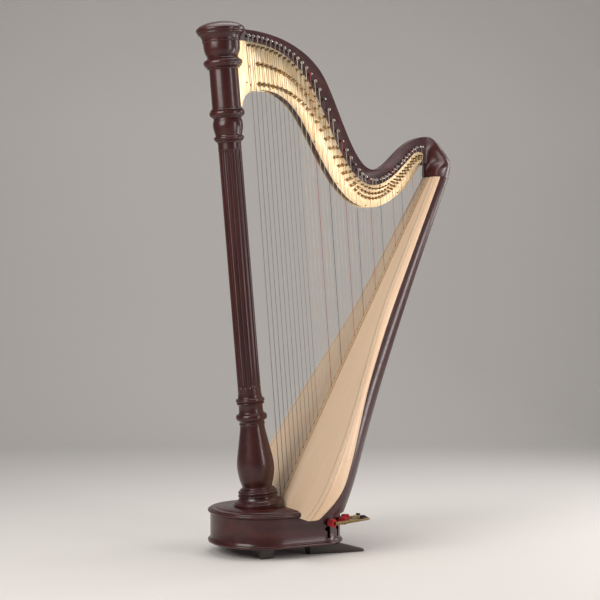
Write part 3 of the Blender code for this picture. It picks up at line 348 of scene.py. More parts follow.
class Look:
    """A material, with short calls for its nodes."""

    def __init__(self, name):
        self.material = bpy.data.materials.new(name)
        self.material.use_nodes = True
        self.tree = self.material.node_tree
        self.shader = self.tree.nodes["Principled BSDF"]

    def add(self, kind, inputs=None, **settings):
        node = self.tree.nodes.new(kind)
        for key, value in settings.items():
            setattr(node, key, value)
        for key, value in (inputs or {}).items():
            self.feed(node.inputs[key], value)
        return node

    def feed(self, socket, value):
        if isinstance(value, bpy.types.NodeSocket):
            self.tree.links.new(value, socket)
        else:
            socket.default_value = value

    def set(self, **values):
        for key, value in values.items():
            self.feed(self.shader.inputs[key.replace("_", " ")], value)

    def place(self):
        """Where a point of the surface is, in its object's own space."""
        return self.add("ShaderNodeTexCoord").outputs["Object"]

    def grain_space(self, direction, stretch):
        """Object coordinates with Z along the grain, scaled by stretch (across, across, along)."""
        turn = Vector(direction).rotation_difference(Vector((0, 0, 1))).to_euler()
        turned = self.add("ShaderNodeMapping", {"Vector": self.place(), "Rotation": turn}).outputs["Vector"]
        return self.add("ShaderNodeMapping", {"Vector": turned, "Scale": stretch}).outputs["Vector"]

    def noise(self, space, scale, detail=4.0, rough=0.55, distort=0.0):
        inputs = {"Vector": space, "Scale": scale, "Detail": detail}
        inputs.update({"Roughness": rough, "Distortion": distort})
        return self.add("ShaderNodeTexNoise", inputs).outputs["Fac"]

    def grain(self, direction, stretch, detail, rough=0.55, distort=0.0):
        """Noise drawn out along the grain."""
        return self.noise(self.grain_space(direction, stretch), 1.0, detail, rough, distort)

    def ramp(self, value, stops):
        node = self.add("ShaderNodeValToRGB", {"Fac": value})
        band = node.color_ramp
        while len(band.elements) < len(stops):
            band.elements.new(0.5)
        for element, (place, colour) in zip(band.elements, stops):
            element.position = place
            element.color = (*colour, 1.0)
        return node.outputs["Color"]

    def mix(self, share, first, second):
        node = self.add("ShaderNodeMix", data_type="RGBA")
        for key, value in ((0, share), (6, first), (7, second)):
            value = (*value, 1.0) if isinstance(value, tuple) and len(value) == 3 else value
            self.feed(node.inputs[key], value)
        return node.outputs[2]

    def span(self, value, low, high, from_low=0.0, from_high=1.0):
        inputs = {"Value": value, "From Min": from_low, "From Max": from_high, "To Min": low, "To Max": high}
        return self.add("ShaderNodeMapRange", inputs).outputs["Result"]

    def bump(self, height, strength, distance, below=None):
        inputs = {"Height": height, "Strength": strength, "Distance": distance}
        if below is not None:
            inputs["Normal"] = below
        return self.add("ShaderNodeBump", inputs).outputs["Normal"]


MAHOGANY_STOPS = (
    (0.28, (0.024, 0.0034, 0.0030)),
    (0.55, (0.050, 0.0074, 0.0062)),
    (0.80, (0.084, 0.0150, 0.0110)),
)


def mahogany(name, direction):
    """Red-brown mahogany under clear gloss lacquer: ribbon figure, fine dark pores, soft orange peel."""
    look = Look(name)
    figure = look.grain(direction, (26, 26, 1.6), 3.0, 0.6, 0.6)
    fibre = look.grain(direction, (260, 260, 9), 3.0, 0.6)
    pores = look.grain(direction, (900, 900, 32), 2.0, 0.5)
    peel = look.grain(direction, (55, 55, 55), 2.0)
    colour = look.ramp(figure, MAHOGANY_STOPS)
    colour = look.mix(look.span(fibre, 0.0, 0.55, 0.35, 0.75), colour, (0.023, 0.0038, 0.0032))
    colour = look.mix(look.span(pores, 0.0, 0.75, 0.60, 0.72), colour, (0.007, 0.0018, 0.0015))
    look.set(Base_Color=colour, Roughness=look.span(fibre, 0.40, 0.56), Specular_IOR_Level=0.18)
    look.set(Coat_Weight=0.75, Coat_IOR=1.46, Coat_Roughness=look.span(peel, 0.17, 0.27, 0.3, 0.7))
    look.set(Normal=look.bump(pores, 0.10, 0.0002), Coat_Normal=look.bump(peel, 0.035, 0.001))
    return look.material


def pale_wood(name, direction, dark, light, pitch, rough=0.42):
    """Satin-varnished pale wood: fine straight growth lines, broad tone changes and short flecks."""
    look = Look(name)
    broad = look.grain(direction, (9, 9, 0.9), 3.0)
    lines = look.noise(look.grain_space(direction, (1, 1, 0.02)), pitch, 3.0, 0.65, 0.15)
    flecks = look.grain(direction, (420, 420, 30), 2.0)
    middle = tuple((a + b) / 2 for a, b in zip(dark, light))
    colour = look.ramp(broad, ((0.25, middle), (0.75, light)))
    colour = look.mix(look.span(lines, 0.0, 0.42, 0.46, 0.72), colour, dark)
    colour = look.mix(look.span(flecks, 0.0, 0.35, 0.55, 0.75), colour, dark)
    look.set(Base_Color=colour, Roughness=look.span(lines, rough - 0.06, rough + 0.10))
    look.set(Coat_Weight=0.35, Coat_Roughness=0.28)
    look.set(Normal=look.bump(lines, 0.10, 0.0003, look.bump(flecks, 0.05, 0.0002)))
    return look.material


def metal(name, colour, rough, brushed, fine, spots=0.0, dark=None, metallic=1.0):
    """Metal with fine brushing, uneven polish and, where asked, small tarnish spots."""
    look = Look(name)
    place = look.place()
    space = look.add("ShaderNodeMapping", {"Vector": place, "Scale": brushed}).outputs["Vector"]
    brush = look.noise(space, fine, 2.0, 0.6)
    cloud = look.noise(place, 14.0, 4.0)
    dark = dark or tuple(0.72 * c for c in colour)
    tone = look.mix(look.span(cloud, 0.0, 0.8, 0.35, 0.75), colour, dark)
    tone = look.mix(look.span(brush, 0.0, 0.30, 0.40, 0.75), tone, dark)
    if spots:
        tarnish = look.noise(place, 160.0, 3.0)
        tone = look.mix(look.span(tarnish, 0.0, spots, 0.62, 0.74), tone, tuple(0.35 * c for c in colour))
    look.set(Base_Color=tone, Metallic=metallic, Normal=look.bump(brush, 0.06, 0.0002))
    look.set(Roughness=look.span(brush, rough - 0.05, rough + 0.10, 0.3, 0.7))
    return look.material


def wound_wire(name, colour):
    """Wire winding round a bass string: close bands across it, with painted shade darkening the grooves
    between turns.
    """
    look = Look(name)
    place = look.place()
    along = look.add("ShaderNodeVectorMath", {0: place, 1: tuple(UP)}, operation="DOT_PRODUCT")
    turn_per_metre = 2 * math.pi / 0.0009
    turns = look.add("ShaderNodeMath", {0: along.outputs["Value"], 1: turn_per_metre}, operation="MULTIPLY")
    bands = look.add("ShaderNodeMath", {0: turns.outputs[0]}, operation="SINE").outputs[0]
    cloud = look.noise(place, 60.0)
    # Painted shade: the colour falls to half in the grooves between the winding turns.
    tone = look.mix(look.span(bands, 0.0, 0.6, -1.0, 1.0), tuple(0.5 * c for c in colour), colour)
    look.set(Base_Color=tone, Metallic=0.85, Roughness=look.span(cloud, 0.28, 0.45))
    look.set(Normal=look.bump(bands, 0.5, 0.0004))
    return look.material


def gut(name, colour):
    """Gut and nylon string: slightly see-through, faintly twisted."""
    look = Look(name)
    twist = look.grain(UP, (500, 500, 220), 2.0)
    cloud = look.noise(look.place(), 25.0)
    tone = look.mix(look.span(cloud, 0.0, 0.6, 0.3, 0.7), colour, tuple(0.7 * c for c in colour))
    look.set(Base_Color=tone, Roughness=look.span(twist, 0.25, 0.45), Transmission_Weight=0.10)
    look.set(Subsurface_Weight=0.15, Subsurface_Scale=0.002, Normal=look.bump(twist, 0.15, 0.0002))
    return look.material


def felt(name):
    """Pressed red wool felt: matted fibres, fuzz at the edges."""
    look = Look(name)
    place = look.place()
    matted = look.noise(place, 420.0, 5.0, 0.7, 0.8)
    fuzz = look.noise(place, 1600.0, 3.0, 0.7)
    deep, plain, bright = (0.22, 0.004, 0.008), (0.50, 0.010, 0.018), (0.68, 0.035, 0.045)
    tone = look.ramp(matted, ((0.25, deep), (0.55, plain), (0.80, bright)))
    tone = look.mix(look.span(fuzz, 0.0, 0.30, 0.5, 0.8), tone, (0.80, 0.16, 0.15))
    look.set(Base_Color=tone, Roughness=0.92)
    look.set(Sheen_Weight=0.7, Sheen_Roughness=0.4, Sheen_Tint=(1.0, 0.45, 0.45, 1.0))
    look.set(Normal=look.bump(matted, 0.6, 0.0012, look.bump(fuzz, 0.35, 0.0005)))
    return look.material


def rubber(name, colour):
    look = Look(name)
    place = look.place()
    grit = look.noise(place, 900.0, 3.0)
    dust = look.noise(place, 45.0, 4.0)
    tone = look.mix(look.span(dust, 0.0, 0.5, 0.45, 0.8), colour, tuple(2.6 * c for c in colour))
    look.set(Base_Color=tone, Roughness=look.span(grit, 0.5, 0.75), Normal=look.bump(grit, 0.2, 0.0002))
    return look.material


ALONG_BOARD = Vector((BOARD_SLOPE, 0, 1)).normalized()
NECK_RUN = Vector((0.80, 0, -0.60))
LENGTHWISE = Vector((1, 0, 0))
EVEN, LONG_Z = (1, 1, 1), (1, 1, 0.05)         # a metal's brushing, even or drawn out along Z

MAHOGANY_COLUMN = mahogany("mahogany_column", UP)
MAHOGANY_NECK = mahogany("mahogany_neck", NECK_RUN)
MAHOGANY_SHOULDER = mahogany("mahogany_shoulder", Vector((0.55, 0, 0.83)))
MAHOGANY_SHELL = mahogany("mahogany_shell", ALONG_BOARD)
MAHOGANY_BASE = mahogany("mahogany_base", LENGTHWISE)
SPRUCE = pale_wood("spruce", ALONG_BOARD, (0.50, 0.345, 0.215), (0.70, 0.53, 0.375), 620.0)
MAPLE_BAND = pale_wood("maple_band", ALONG_BOARD, (0.62, 0.40, 0.225), (0.84, 0.61, 0.40), 420.0)
MAPLE_RIB = pale_wood("maple_rib", ALONG_BOARD, (0.34, 0.20, 0.10), (0.60, 0.43, 0.27), 500.0)
MAPLE_BLOCK = pale_wood("maple_block", Vector((0, 1, 0)), (0.34, 0.21, 0.11), (0.52, 0.36, 0.21), 300.0, 0.6)
INLAY = pale_wood("dark_inlay", ALONG_BOARD, (0.10, 0.045, 0.02), (0.20, 0.095, 0.045), 600.0)
FOOT_WOOD = pale_wood("foot_wood", LENGTHWISE, (0.012, 0.008, 0.006), (0.035, 0.022, 0.016), 300.0, 0.5)
PLATE_BRASS = metal("plate_brass", (0.88, 0.72, 0.46), 0.38, (0.25, 1, 0.02), 900, 0.30, (0.74, 0.54, 0.29))
# Dark brown brass for discs, flanges and screws: partly the metal's tone, partly painted shade for the
# shadows that discs and strings cast on the plate.
DISC_BRASS_WITH_SHADE = metal("disc_brass", (0.36, 0.225, 0.085), 0.30, EVEN, 900, 0.3, (0.15, 0.088, 0.032))
# Near-black bronze for prongs, bridge pins and eyelets: partly the metal's tone, partly painted shade for
# the shadows these small parts cast.
PRONG_BRONZE_WITH_SHADE = metal("prong_bronze_with_painted_shade", (0.13, 0.075, 0.035), 0.36, EVEN, 900, 0.0, (0.05, 0.028, 0.012))
PIN_STEEL = metal("pin_steel", (0.66, 0.63, 0.62), 0.22, (1, 0.1, 1), 1500, 0.25)
ROD_STEEL = metal("rod_steel", (0.52, 0.52, 0.53), 0.30, LONG_Z, 900)
CAST_BLOCK = metal("cast_block", (0.06, 0.06, 0.06), 0.5, EVEN, 500, 0.2, (0.03, 0.03, 0.03), 0.4)
PEDAL_BRASS = metal("pedal_brass", (0.22, 0.155, 0.075), 0.30, (0.1, 1, 1), 900, 0.6, (0.07, 0.045, 0.022))
BASS_WIRE = wound_wire("bass_wire", (0.52, 0.47, 0.42))
GUT_PLAIN = gut("gut_plain", (0.66, 0.58, 0.46))
GUT_RED = gut("gut_red", (0.42, 0.04, 0.03))
GUT_DARK = gut("gut_dark", (0.035, 0.035, 0.050))
RED_FELT = felt("red_felt")
TREAD_RUBBER = rubber("tread_rubber", (0.022, 0.021, 0.020))


# ---------------------------------------------------------------- column

def in_metres(*runs):
    return [[(radius / 1000, along / 1000) for radius, along in run] for run in runs]


# Each run of (radius, distance up the axis) is a smooth curve; runs meet in small bevelled edges.
VASE = in_metres(
    ((88.5, 176.5), (88.5, 179), (87, 180.8)),
    ((84.5, 181.2), (83.5, 185), (80, 186.6)),
    ((77.5, 187), (73, 190.5), (69, 196), (66.5, 202)),
    ((69, 202.4), (71.2, 205.5), (69, 208.8)),
    ((65.5, 209.4), (65.5, 211.2)),
    ((67.2, 211.6), (69.2, 215), (69, 219), (66.8, 221.8)),
    ((63, 222.4), (62.8, 226), (60.5, 229), (56.2, 231.2)),
    ((54.5, 231.8), (53.5, 236), (55.5, 244), (60, 259), (64, 278), (66.2, 298), (66.2, 316),
     (64, 337), (60.3, 358), (55.6, 383), (50.8, 409), (46.6, 433), (44.5, 448), (43.8, 458)),
    ((45.5, 459), (46.2, 461.5), (45.5, 464)),
    ((44, 464.5), (45.2, 471), (50, 476)),
    ((53, 476.5), (55.3, 482), (55.3, 490), (53, 496)),
    ((50, 496.5), (45, 501), (43.2, 508), (42.8, 517), (43.2, 525), (45.2, 532)),
    ((47.8, 532.5), (50, 536), (47.8, 539.5)),
    ((46.8, 540), (50.5, 542.5), (51.5, 547), (50.5, 551.5)),
    ((47, 552), (44, 556), (42.8, 562), (42.5, 568)),
)
COLLAR = in_metres(
    ((42, 1458), (42.3, 1462), (44, 1465.5)),
    ((47.5, 1466), (50, 1468.2), (48, 1470.5)),
    ((51, 1471), (53.5, 1475), (53.5, 1480), (51, 1483.5)),
    ((47.8, 1484), (47.2, 1488), (49, 1496), (51.6, 1508), (53.3, 1520), (52.5, 1533),
     (49.5, 1543), (48.4, 1547)),
    ((51, 1547.5), (53.5, 1551), (56, 1553.5)),
    ((58.5, 1554), (61.8, 1560), (62.2, 1567), (60.5, 1572)),
    ((57, 1572.5), (58.8, 1575.2), (56.5, 1578.2)),
    ((54, 1578.7), (54, 1580)),
)
CAPITAL = in_metres(
    ((53, 1580.3), (53, 1582.5)),
    ((51, 1583), (51, 1620), (51, 1670), (51, 1713), (52, 1719.5)),
    ((56, 1720), (58, 1722.5), (56, 1725)),
    ((59, 1725.5), (63.2, 1729), (65, 1734.5)),
    ((67.2, 1735), (69, 1740), (68.2, 1746), (65.5, 1750)),
    ((62.5, 1750.5), (56, 1756), (52.8, 1762)),
    ((54.5, 1762.5), (56.2, 1764.5), (55, 1766.8)),
    ((56, 1767.2), (59.5, 1775), (62.8, 1786), (64.2, 1800), (64.8, 1813)),
    ((66.8, 1813.5), (68, 1816), (66.8, 1818.5)),
    ((66.5, 1819), (68, 1825), (71.5, 1833), (76.5, 1840)),
    ((78.5, 1840.5), (80.8, 1843.5), (81, 1847)),
    ((82.5, 1847.5), (84.5, 1850), (85.7, 1854), (85.9, 1858), (84.8, 1861)),
    ((83.5, 1861.7), (79, 1866.8), (71, 1871.8), (60, 1876.6), (46, 1880.8), (30, 1883.7),
     (15, 1884.8), (1, 1885)),
)
CAPITAL_BORE_TOP = 1.762


def column_ring(radius, along, count=ROUND):
    return [leaning(radius * math.cos(t), radius * math.sin(t), along) for t in turns_of(count)]


def profile_rings(runs):
    """Rings of a turned profile; a run's two ends stop short of the next run to leave a small bevel."""
    rings = []
    for number, run in enumerate(runs):
        curve = through(run, 5)
        if number > 0:
            curve[0] = curve[0].lerp(curve[1], min(0.4, ARRIS / (curve[1] - curve[0]).length))
        if number < len(runs) - 1:
            curve[-1] = curve[-1].lerp(curve[-2], min(0.4, ARRIS / (curve[-1] - curve[-2]).length))
        rings += [column_ring(radius, along) for radius, along in curve]
    return rings


def level_ring(radius, level):
    """Ring of the leaning column cut off at a level plane."""
    return [p + UP * ((level - p.z) / UP.z) for p in column_ring(radius, level)]


def turned_solid(name, rings, loop=True):
    return solid(name, *skin(rings, loop), sharp=50)


def turned_column_pieces():
    foot = TOP_HIGH.z + GAP
    bore = [column_ring(BORE, VASE[-1][-1][1]), level_ring(BORE, foot)]
    vase = turned_solid("column_vase_turned", [level_ring(VASE[0][0][0], foot), *profile_rings(VASE), *bore])
    guide = []
    for level in (0.15, 0.28):
        near = string_line_x(level) - RIB_THICK - 0.001
        plan = ((near, -0.15), (near + 0.2, -0.15), (near + 0.2, 0.15), (near, 0.15))
        guide.append([Vector((x, y, level)) for x, y in plan])
    carve(vase, [solid("guide_board", *skin(guide))], 50)
    dress(vase, MAHOGANY_COLUMN, ["column_vase"])

    bore = [column_ring(BORE, COLLAR[-1][-1][1]), column_ring(BORE, COLLAR[0][0][1])]
    collar = turned_solid("column_collar_turned", profile_rings(COLLAR) + bore)
    dress(collar, MAHOGANY_COLUMN, ["column_collar"])

    bore = [column_ring(BORE, CAPITAL_BORE_TOP), column_ring(BORE, CAPITAL[0][0][1])]
    capital = turned_solid("column_capital_turned", bore + profile_rings(CAPITAL), loop=False)
    dress(capital, MAHOGANY_COLUMN, ["column_capital"])


def flute_sink(turn, along):
    """Depth of the fluting at an angle and a distance up the shaft; flutes end in round scoops."""
    pitch = 2 * math.pi / FLUTES
    half = FLUTE_SHARE * pitch / 2
    offset = (turn + pitch / 2) % pitch - pitch / 2
    inside = min(along - SHAFT_ENDS[0], SHAFT_ENDS[1] - along) - FLUTE_MARGIN
    if inside <= 0:
        return 0.0
    reach = half * math.sqrt(max(0.0, 1 - max(0.0, 1 - inside / FLUTE_SCOOP) ** 2))
    if abs(offset) >= reach:
        return 0.0
    return FLUTE_DEPTH * math.sqrt(reach ** 2 - offset ** 2) / half


def fluted_shaft():
    low, high = SHAFT_ENDS
    count = FLUTES * 16
    ends = spread(0.0, 0.040, 26)
    stations = [low + end for end in ends] + spread(low + 0.06, high - 0.06, 8)
    stations += [high - end for end in reversed(ends)]
    rings = []
    for along in stations:
        ring = []
        for turn in turns_of(count):
            radius = SHAFT_RADIUS - flute_sink(turn, along)
            ring.append(leaning(radius * math.cos(turn), radius * math.sin(turn), along))
        rings.append(ring)
    rings += [column_ring(BORE, high, count), column_ring(BORE, low, count)]
    shaft = solid("column_shaft_fluted", *skin(rings, loop=True), sharp=42)
    dress(shaft, MAHOGANY_COLUMN, ["column_shaft"])


def column_guide():
    """Cutter that fits the neck and its plates round the column's top pieces."""
    rings = []
    for run in COLLAR[2:] + CAPITAL[:-1]:
        rings += [column_ring(radius + 0.0006, along) for radius, along in through(run, 2)]
    rings.append(column_ring(0.0866, CAPITAL[-1][-1][1]))
    return solid("guide_column", *skin(rings))


# ---------------------------------------------------------------- soundbox

def string_line_x(level):
    return LINE_FOOT + BOARD_SLOPE * (level - BODY_FOOT)


def corner_share(level):
    return max(0.0, (CORNER_TOP - level) / CORNER_HIGH) ** 2


def board_half(level):
    """Half width of the soundboard: a straight taper, widened into wings in the bass."""
    taper = BOARD_HALF_TOP + BOARD_TAPER * (BODY_TOP - level)
    wing = WING_OUT * smooth_step((WING_TOP - level) / WING_HIGH)
    return taper + wing - CORNER_IN * corner_share(level)


def shell_half(level):
    return SHELL_HALF_TOP + SHELL_TAPER * (BODY_TOP - level)


def band_depth(level):
    swell = SWELL_DEEP * smooth_step((SWELL_TOP - level) / SWELL_HIGH)
    return BAND_DEPTH_TOP + BAND_TAPER * (BODY_TOP - level) + swell - BAND_CORNER * corner_share(level)


def body_depth(level):
    rise = level - BODY_FOOT
    hollow = BODY_HOLLOW * math.sin(math.pi * rise / (BODY_TOP - BODY_FOOT))
    return BODY_DEPTH_FOOT - BODY_TAPER * rise - hollow


def board_levels(count):
    """Levels up the soundbox, closer together in the bass."""
    return [BODY_FOOT + (BODY_TOP - BODY_FOOT) * (k / (count - 1)) ** 1.35 for k in range(count)]


def on_board(level, y, depth=0.0):
    return Vector((string_line_x(level) + depth, y, level))


def soundboard():
    rings = []
    for level in board_levels(64):
        outline = rounded_box(board_half(level), BOARD_THICK / 2, 0.0022)
        rings.append([on_board(level, y, BOARD_THICK / 2 + depth) for y, depth in outline])
    dress(solid("soundboard_spruce", *skin(rings), sharp=50), SPRUCE, ["soundboard"])


def board_inlay(word, side):
    """Thin dark line let into the board's face, parallel with its edge."""
    rings = []
    half_wide, sunk, proud = 0.0009, 0.0006, 0.0002
    section = ((-half_wide, sunk), (half_wide, sunk), (half_wide, -proud), (-half_wide, -proud))
    for level in board_levels(60)[1:]:
        set_in = 0.012 + 0.010 * smooth_step((0.6 - level) / 0.4)
        y = side * (board_half(level) - set_in)
        rings.append([on_board(level, y + across, depth) for across, depth in section])
    dress(solid("board_inlay_" + word, *skin(rings), sharp=30), INLAY)


def rib_half(level):
    share = (level - BODY_FOOT) / (BODY_TOP - BODY_FOOT)
    return RIB_HALF_FOOT + (RIB_HALF_TOP - RIB_HALF_FOOT) * share


def string_rib():
    """Hardwood strip with rounded arrises along the middle of the board."""
    rings = []
    edge = 0.0016
    for level in spread(0.1665, BODY_TOP - 0.001, 60):
        half = rib_half(level)
        section = [(-half, -GAP)]
        for k in range(5):
            turn = math.pi / 2 * k / 4
            section.append((-half + edge * (1 - math.cos(turn)), -RIB_THICK + edge * (1 - math.sin(turn))))
        section += [(-y, depth) for y, depth in reversed(section)]
        rings.append([on_board(level, y, depth) for y, depth in section])
    dress(solid("string_rib_maple", *skin(rings), sharp=45), MAPLE_RIB, ["string_rib"])


def edge_band(word, side):
    rings = []
    for level in board_levels(56):
        outer, inner = [], []
        start, end = BOARD_THICK + GAP, band_depth(level)
        for k in range(17):
            turn = math.radians(84) * k / 16
            across, back = math.cos(turn) ** BAND_ROUND, math.sin(turn) ** BAND_ROUND
            for line, wall in ((outer, 0.0), (inner, BAND_WALL)):
                half = shell_half(level) - wall + (board_half(level) - shell_half(level)) * across
                line.append(on_board(level, side * half, start + (end - wall - start) * back))
        rings.append(outer + inner[::-1])
    name = "edge_band_" + word
    dress(solid(name + "_bent", *skin(rings), sharp=45), MAPLE_BAND, [name])


def shell_point(level, turn, wall=0.0):
    """A point on the half-round shell: turn runs from -90 to 90 degrees, wall is a depth below it."""
    front = string_line_x(level) + band_depth(level) + GAP
    reach = body_depth(level) - band_depth(level) - GAP - wall
    back = abs(math.cos(turn)) ** SHELL_ROUND
    across = math.copysign(abs(math.sin(turn)) ** SHELL_ROUND, math.sin(turn))
    return Vector((front + reach * back, (shell_half(level) - wall) * across, level))


def shell_at(level, y, proud=0.0):
    """A point on the outside of the shell at a given sideways place."""
    sine = min(1.0, abs(y) / shell_half(level)) ** (1 / SHELL_ROUND)
    return shell_point(level, math.copysign(math.asin(sine), y), -proud)


def sound_hole_oval(level):
    half_wide = 0.012 + 0.016 * (1.3 - level)
    return [(half_wide * math.cos(t), level + SOUND_HOLE_HALF_HIGH * math.sin(t)) for t in turns_of(40)]


def sound_hole_cutter(level):
    middle = string_line_x(level) + body_depth(level)
    rings = [[Vector((middle + x, y, z)) for y, z in sound_hole_oval(level)] for x in (-0.075, 0.060)]
    return solid("guide_hole", *skin(rings))


def sound_hole_rim(level):
    """A thin round bead along a sound hole's edge on the curved shell."""
    loop = [shell_at(z, y, 0.0006) for y, z in sound_hole_oval(level)]
    rings = []
    for k, place in enumerate(loop):
        heading = (loop[(k + 1) % len(loop)] - loop[k - 1]).normalized()
        side = heading.cross(Vector((1, 0, 0))).normalized()
        out = side.cross(heading)
        rings.append([place + RIM_RADIUS * (side * math.cos(t) + out * math.sin(t)) for t in turns_of(8)])
    return skin(rings, loop=True)


def soundbox_shell():
    rings = []
    turns = [math.pi * (k / 48 - 0.5) for k in range(49)]
    for level in spread(BODY_FOOT, BODY_TOP, 40):
        inside = [shell_point(level, t, SHELL_WALL) for t in reversed(turns)]
        rings.append([shell_point(level, t) for t in turns] + inside)
    shell = solid("soundbox_shell_bent", *skin(rings), sharp=40)
    carve(shell, [sound_hole_cutter(level) for level in SOUND_HOLE_LEVELS], 40)
    dress(shell, MAHOGANY_SHELL, ["soundbox_shell"])
    rims = merged([sound_hole_rim(level) for level in SOUND_HOLE_LEVELS])
    dress(solid("sound_hole_rims", *rims, sharp=60), INLAY)


def shoulder_reach(rise):
    """How far the shoulder reaches back at a height above the soundbox."""
    below = max(0.0, SHOULDER_BULGE - rise) / SHOULDER_BULGE
    above = max(0.0, rise - SHOULDER_BULGE) / (SHOULDER_RISE - SHOULDER_BULGE)
    widest = SHOULDER_HIGH.x - SHOULDER_LOW.x
    return widest * (1 - 0.12 * below ** 2) * math.sqrt(max(0.0, 1 - above ** 1.8))


def shoulder_section(level):
    """Level section of the shoulder: it flares from the neck's two sides, and its back is round."""
    rise = level - BODY_TOP
    narrowing = smooth_step((rise - NARROW_START) / NARROW_HIGH)
    half = SHOULDER_HALF_FOOT + (SHOULDER_HALF_TOP - SHOULDER_HALF_FOOT) * narrowing
    middle = SHOULDER_TURN * narrowing
    flare = FLARE_LEAST + SHOULDER_FLARE * smooth_step((rise - FLARE_START) / FLARE_HIGH)
    flare = min(flare, FLARE_MOST * shoulder_reach(rise))
    back = shoulder_reach(rise) - flare
    ring = []
    shares = [k / 16 for k in range(17)]
    for side, along in ((1, shares[::-1]), (-1, shares)):
        start, end = NECK_END_Y + side * NECK_END_HALF, middle + side * half
        for share in along:
            x = SHOULDER_LOW.x - NECK_LAP + (flare + NECK_LAP) * share
            ring.append(Vector((x, start + (end - start) * smooth_step(share), level)))
    for k in range(1, 48):
        turn = math.pi * (k / 48 - 0.5)
        reach = abs(math.cos(turn)) ** SHOULDER_ROUND
        across = math.copysign(abs(math.sin(turn)) ** SHOULDER_ROUND, math.sin(turn))
        ring.append(Vector((SHOULDER_LOW.x + flare + back * reach, middle + half * across, level)))
    return ring


def inset_ring(ring, distance):
    """A level ring drawn in towards its middle, for the shadow line over a seam."""
    middle = sum(ring, Vector()) / len(ring)
    return [point - (point - middle).normalized() * distance for point in ring]


def shoulder_cap():
    rise = [math.sin(math.pi / 2 * k / 36) for k in range(37)]
    levels = [SHOULDER_LOW.z + (BODY_TOP + SHOULDER_RISE - 0.0002 - SHOULDER_LOW.z) * r for r in rise]
    rings = [shoulder_section(level) for level in levels]
    tenon = inset_ring(rings[0], 0.0016)
    for drop in (0.0, BODY_TOP - SHOULDER_LOW.z):
        rings.insert(0, [point + Vector((0, 0, drop)) for point in tenon])
    cap = solid("shoulder_cap_carved", *skin(rings), sharp=60)
    dress(cap, MAHOGANY_SHOULDER, ["shoulder_cap"])


# ---------------------------------------------------------------- neck and plates

def neck_left(x):
    return -NECK_HALF + LEFT_SLANT * (x - NECK_START)


def neck_right(x):
    return NECK_HALF + RIGHT_SLANT * (x - NECK_START)


# Outlines seen from the side: corners of cubic curves, every third one on the outline.
NECK_CREST = (
    (-0.110, 1.857), (0.050, 1.864), (0.185, 1.800), (0.245, 1.708), (0.308, 1.611), (0.372, 1.383),
    (0.450, 1.378), (0.525, 1.375), (0.565, 1.508), (0.6897, 1.508),
)
NECK_UNDERSIDE = (
    (0.6897, 1.404), (0.664, 1.404), (0.655, 1.398), (0.638, 1.379), (0.597, 1.330), (0.530, 1.244),
    (0.430, 1.241), (0.327, 1.240), (0.253, 1.376), (0.190, 1.483), (0.140, 1.570), (0.090, 1.652),
    (-0.012, 1.649), (-0.055, 1.648), (-0.083, 1.632), (-0.084, 1.586),
)
PLATE_CREST = (
    (-0.125, 1.814), (0.040, 1.819), (0.125, 1.765), (0.190, 1.668), (0.262, 1.558), (0.330, 1.3375),
    (0.436, 1.3215), (0.500, 1.3125), (0.552, 1.366), (0.622, 1.436),
)
PLATE_UNDERSIDE = (
    (0.622, 1.436), (0.645, 1.459), (0.680, 1.452), (0.667, 1.424), (0.638, 1.361), (0.545, 1.238),
    (0.430, 1.237), (0.325, 1.236), (0.250, 1.374), (0.190, 1.478), (0.140, 1.565), (0.090, 1.648),
    (-0.012, 1.645), (-0.055, 1.644), (-0.086, 1.630), (-0.087, 1.583),
)


def front_end(underside):
    """The last two corners of an outline, in front of the column."""
    level = underside[-1][1]
    return [Vector(underside[-1]), Vector((NECK_FRONT, level))]


def neck_outline():
    crest = chained(NECK_CREST, (26, 26, 26)) + [Vector(NECK_CREST[-1])]
    return crest + chained(NECK_UNDERSIDE, (8, 18, 18, 18, 9)) + front_end(NECK_UNDERSIDE)


def plate_outline():
    crest = chained(PLATE_CREST, (30, 30, 30))
    return crest + chained(PLATE_UNDERSIDE, (13, 26, 26, 26, 13)) + front_end(PLATE_UNDERSIDE)


def inset(outline, distance, fixed_x):
    """An outline moved inwards; points beyond fixed_x only move up or down, so that the end stays flat."""
    area = sum(a.x * b.y - b.x * a.y for a, b in zip(outline, outline[1:] + outline[:1]))
    turn = 1 if area > 0 else -1
    shifted = []
    for k, point in enumerate(outline):
        run = (outline[(k + 1) % len(outline)] - outline[k - 1]).normalized()
        place = point + Vector((-run.y, run.x)) * turn * distance
        if point.x > fixed_x:
            place.x = point.x
        shifted.append(place)
    return shifted


def rounded_slab(name, outline, near, far, radius, steps, cutter):
    """A plate between two slanted sides with rounded edges, fitted round the column."""
    rings = []
    for side, inward in ((near, 1), (far, -1)):
        turns = [math.pi / 2 * k / steps for k in range(steps + 1)]
        layer = []
        for t in turns:
            line = inset(outline, radius * (1 - math.sin(t)), NECK_BACK)
            sink = radius * (1 - math.cos(t)) * inward
            layer.append([Vector((p.x, side(p.x) + sink, p.y)) for p in line])
        rings += layer if inward > 0 else layer[::-1]
    item = solid(name, *skin(rings), sharp=35)
    return carve(item, [cutter], 35)


def neck_and_plates():
    neck = rounded_slab("neck_carved", neck_outline(), neck_left, neck_right, 0.0055, 5, column_guide())
    dress(neck, MAHOGANY_NECK, ["neck"])
    for (word, way), side in zip(SIDES, (neck_left, neck_right)):
        surfaces = [lambda x, off=off: side(x) + way * off for off in (GAP, GAP + PLATE_THICK)]
        surfaces.sort(key=lambda surface: surface(0.0))
        name = "action_plate_" + word
        plate = rounded_slab(name + "_brass", plate_outline(), *surfaces, 0.0007, 2, column_guide())
        dress(plate, PLATE_BRASS, [name])


# ---------------------------------------------------------------- strings and action

def string_place(number):
    return FIRST_STRING + FIRST_SPACING * number - SPACING_STEP * number * (number - 1) / 2


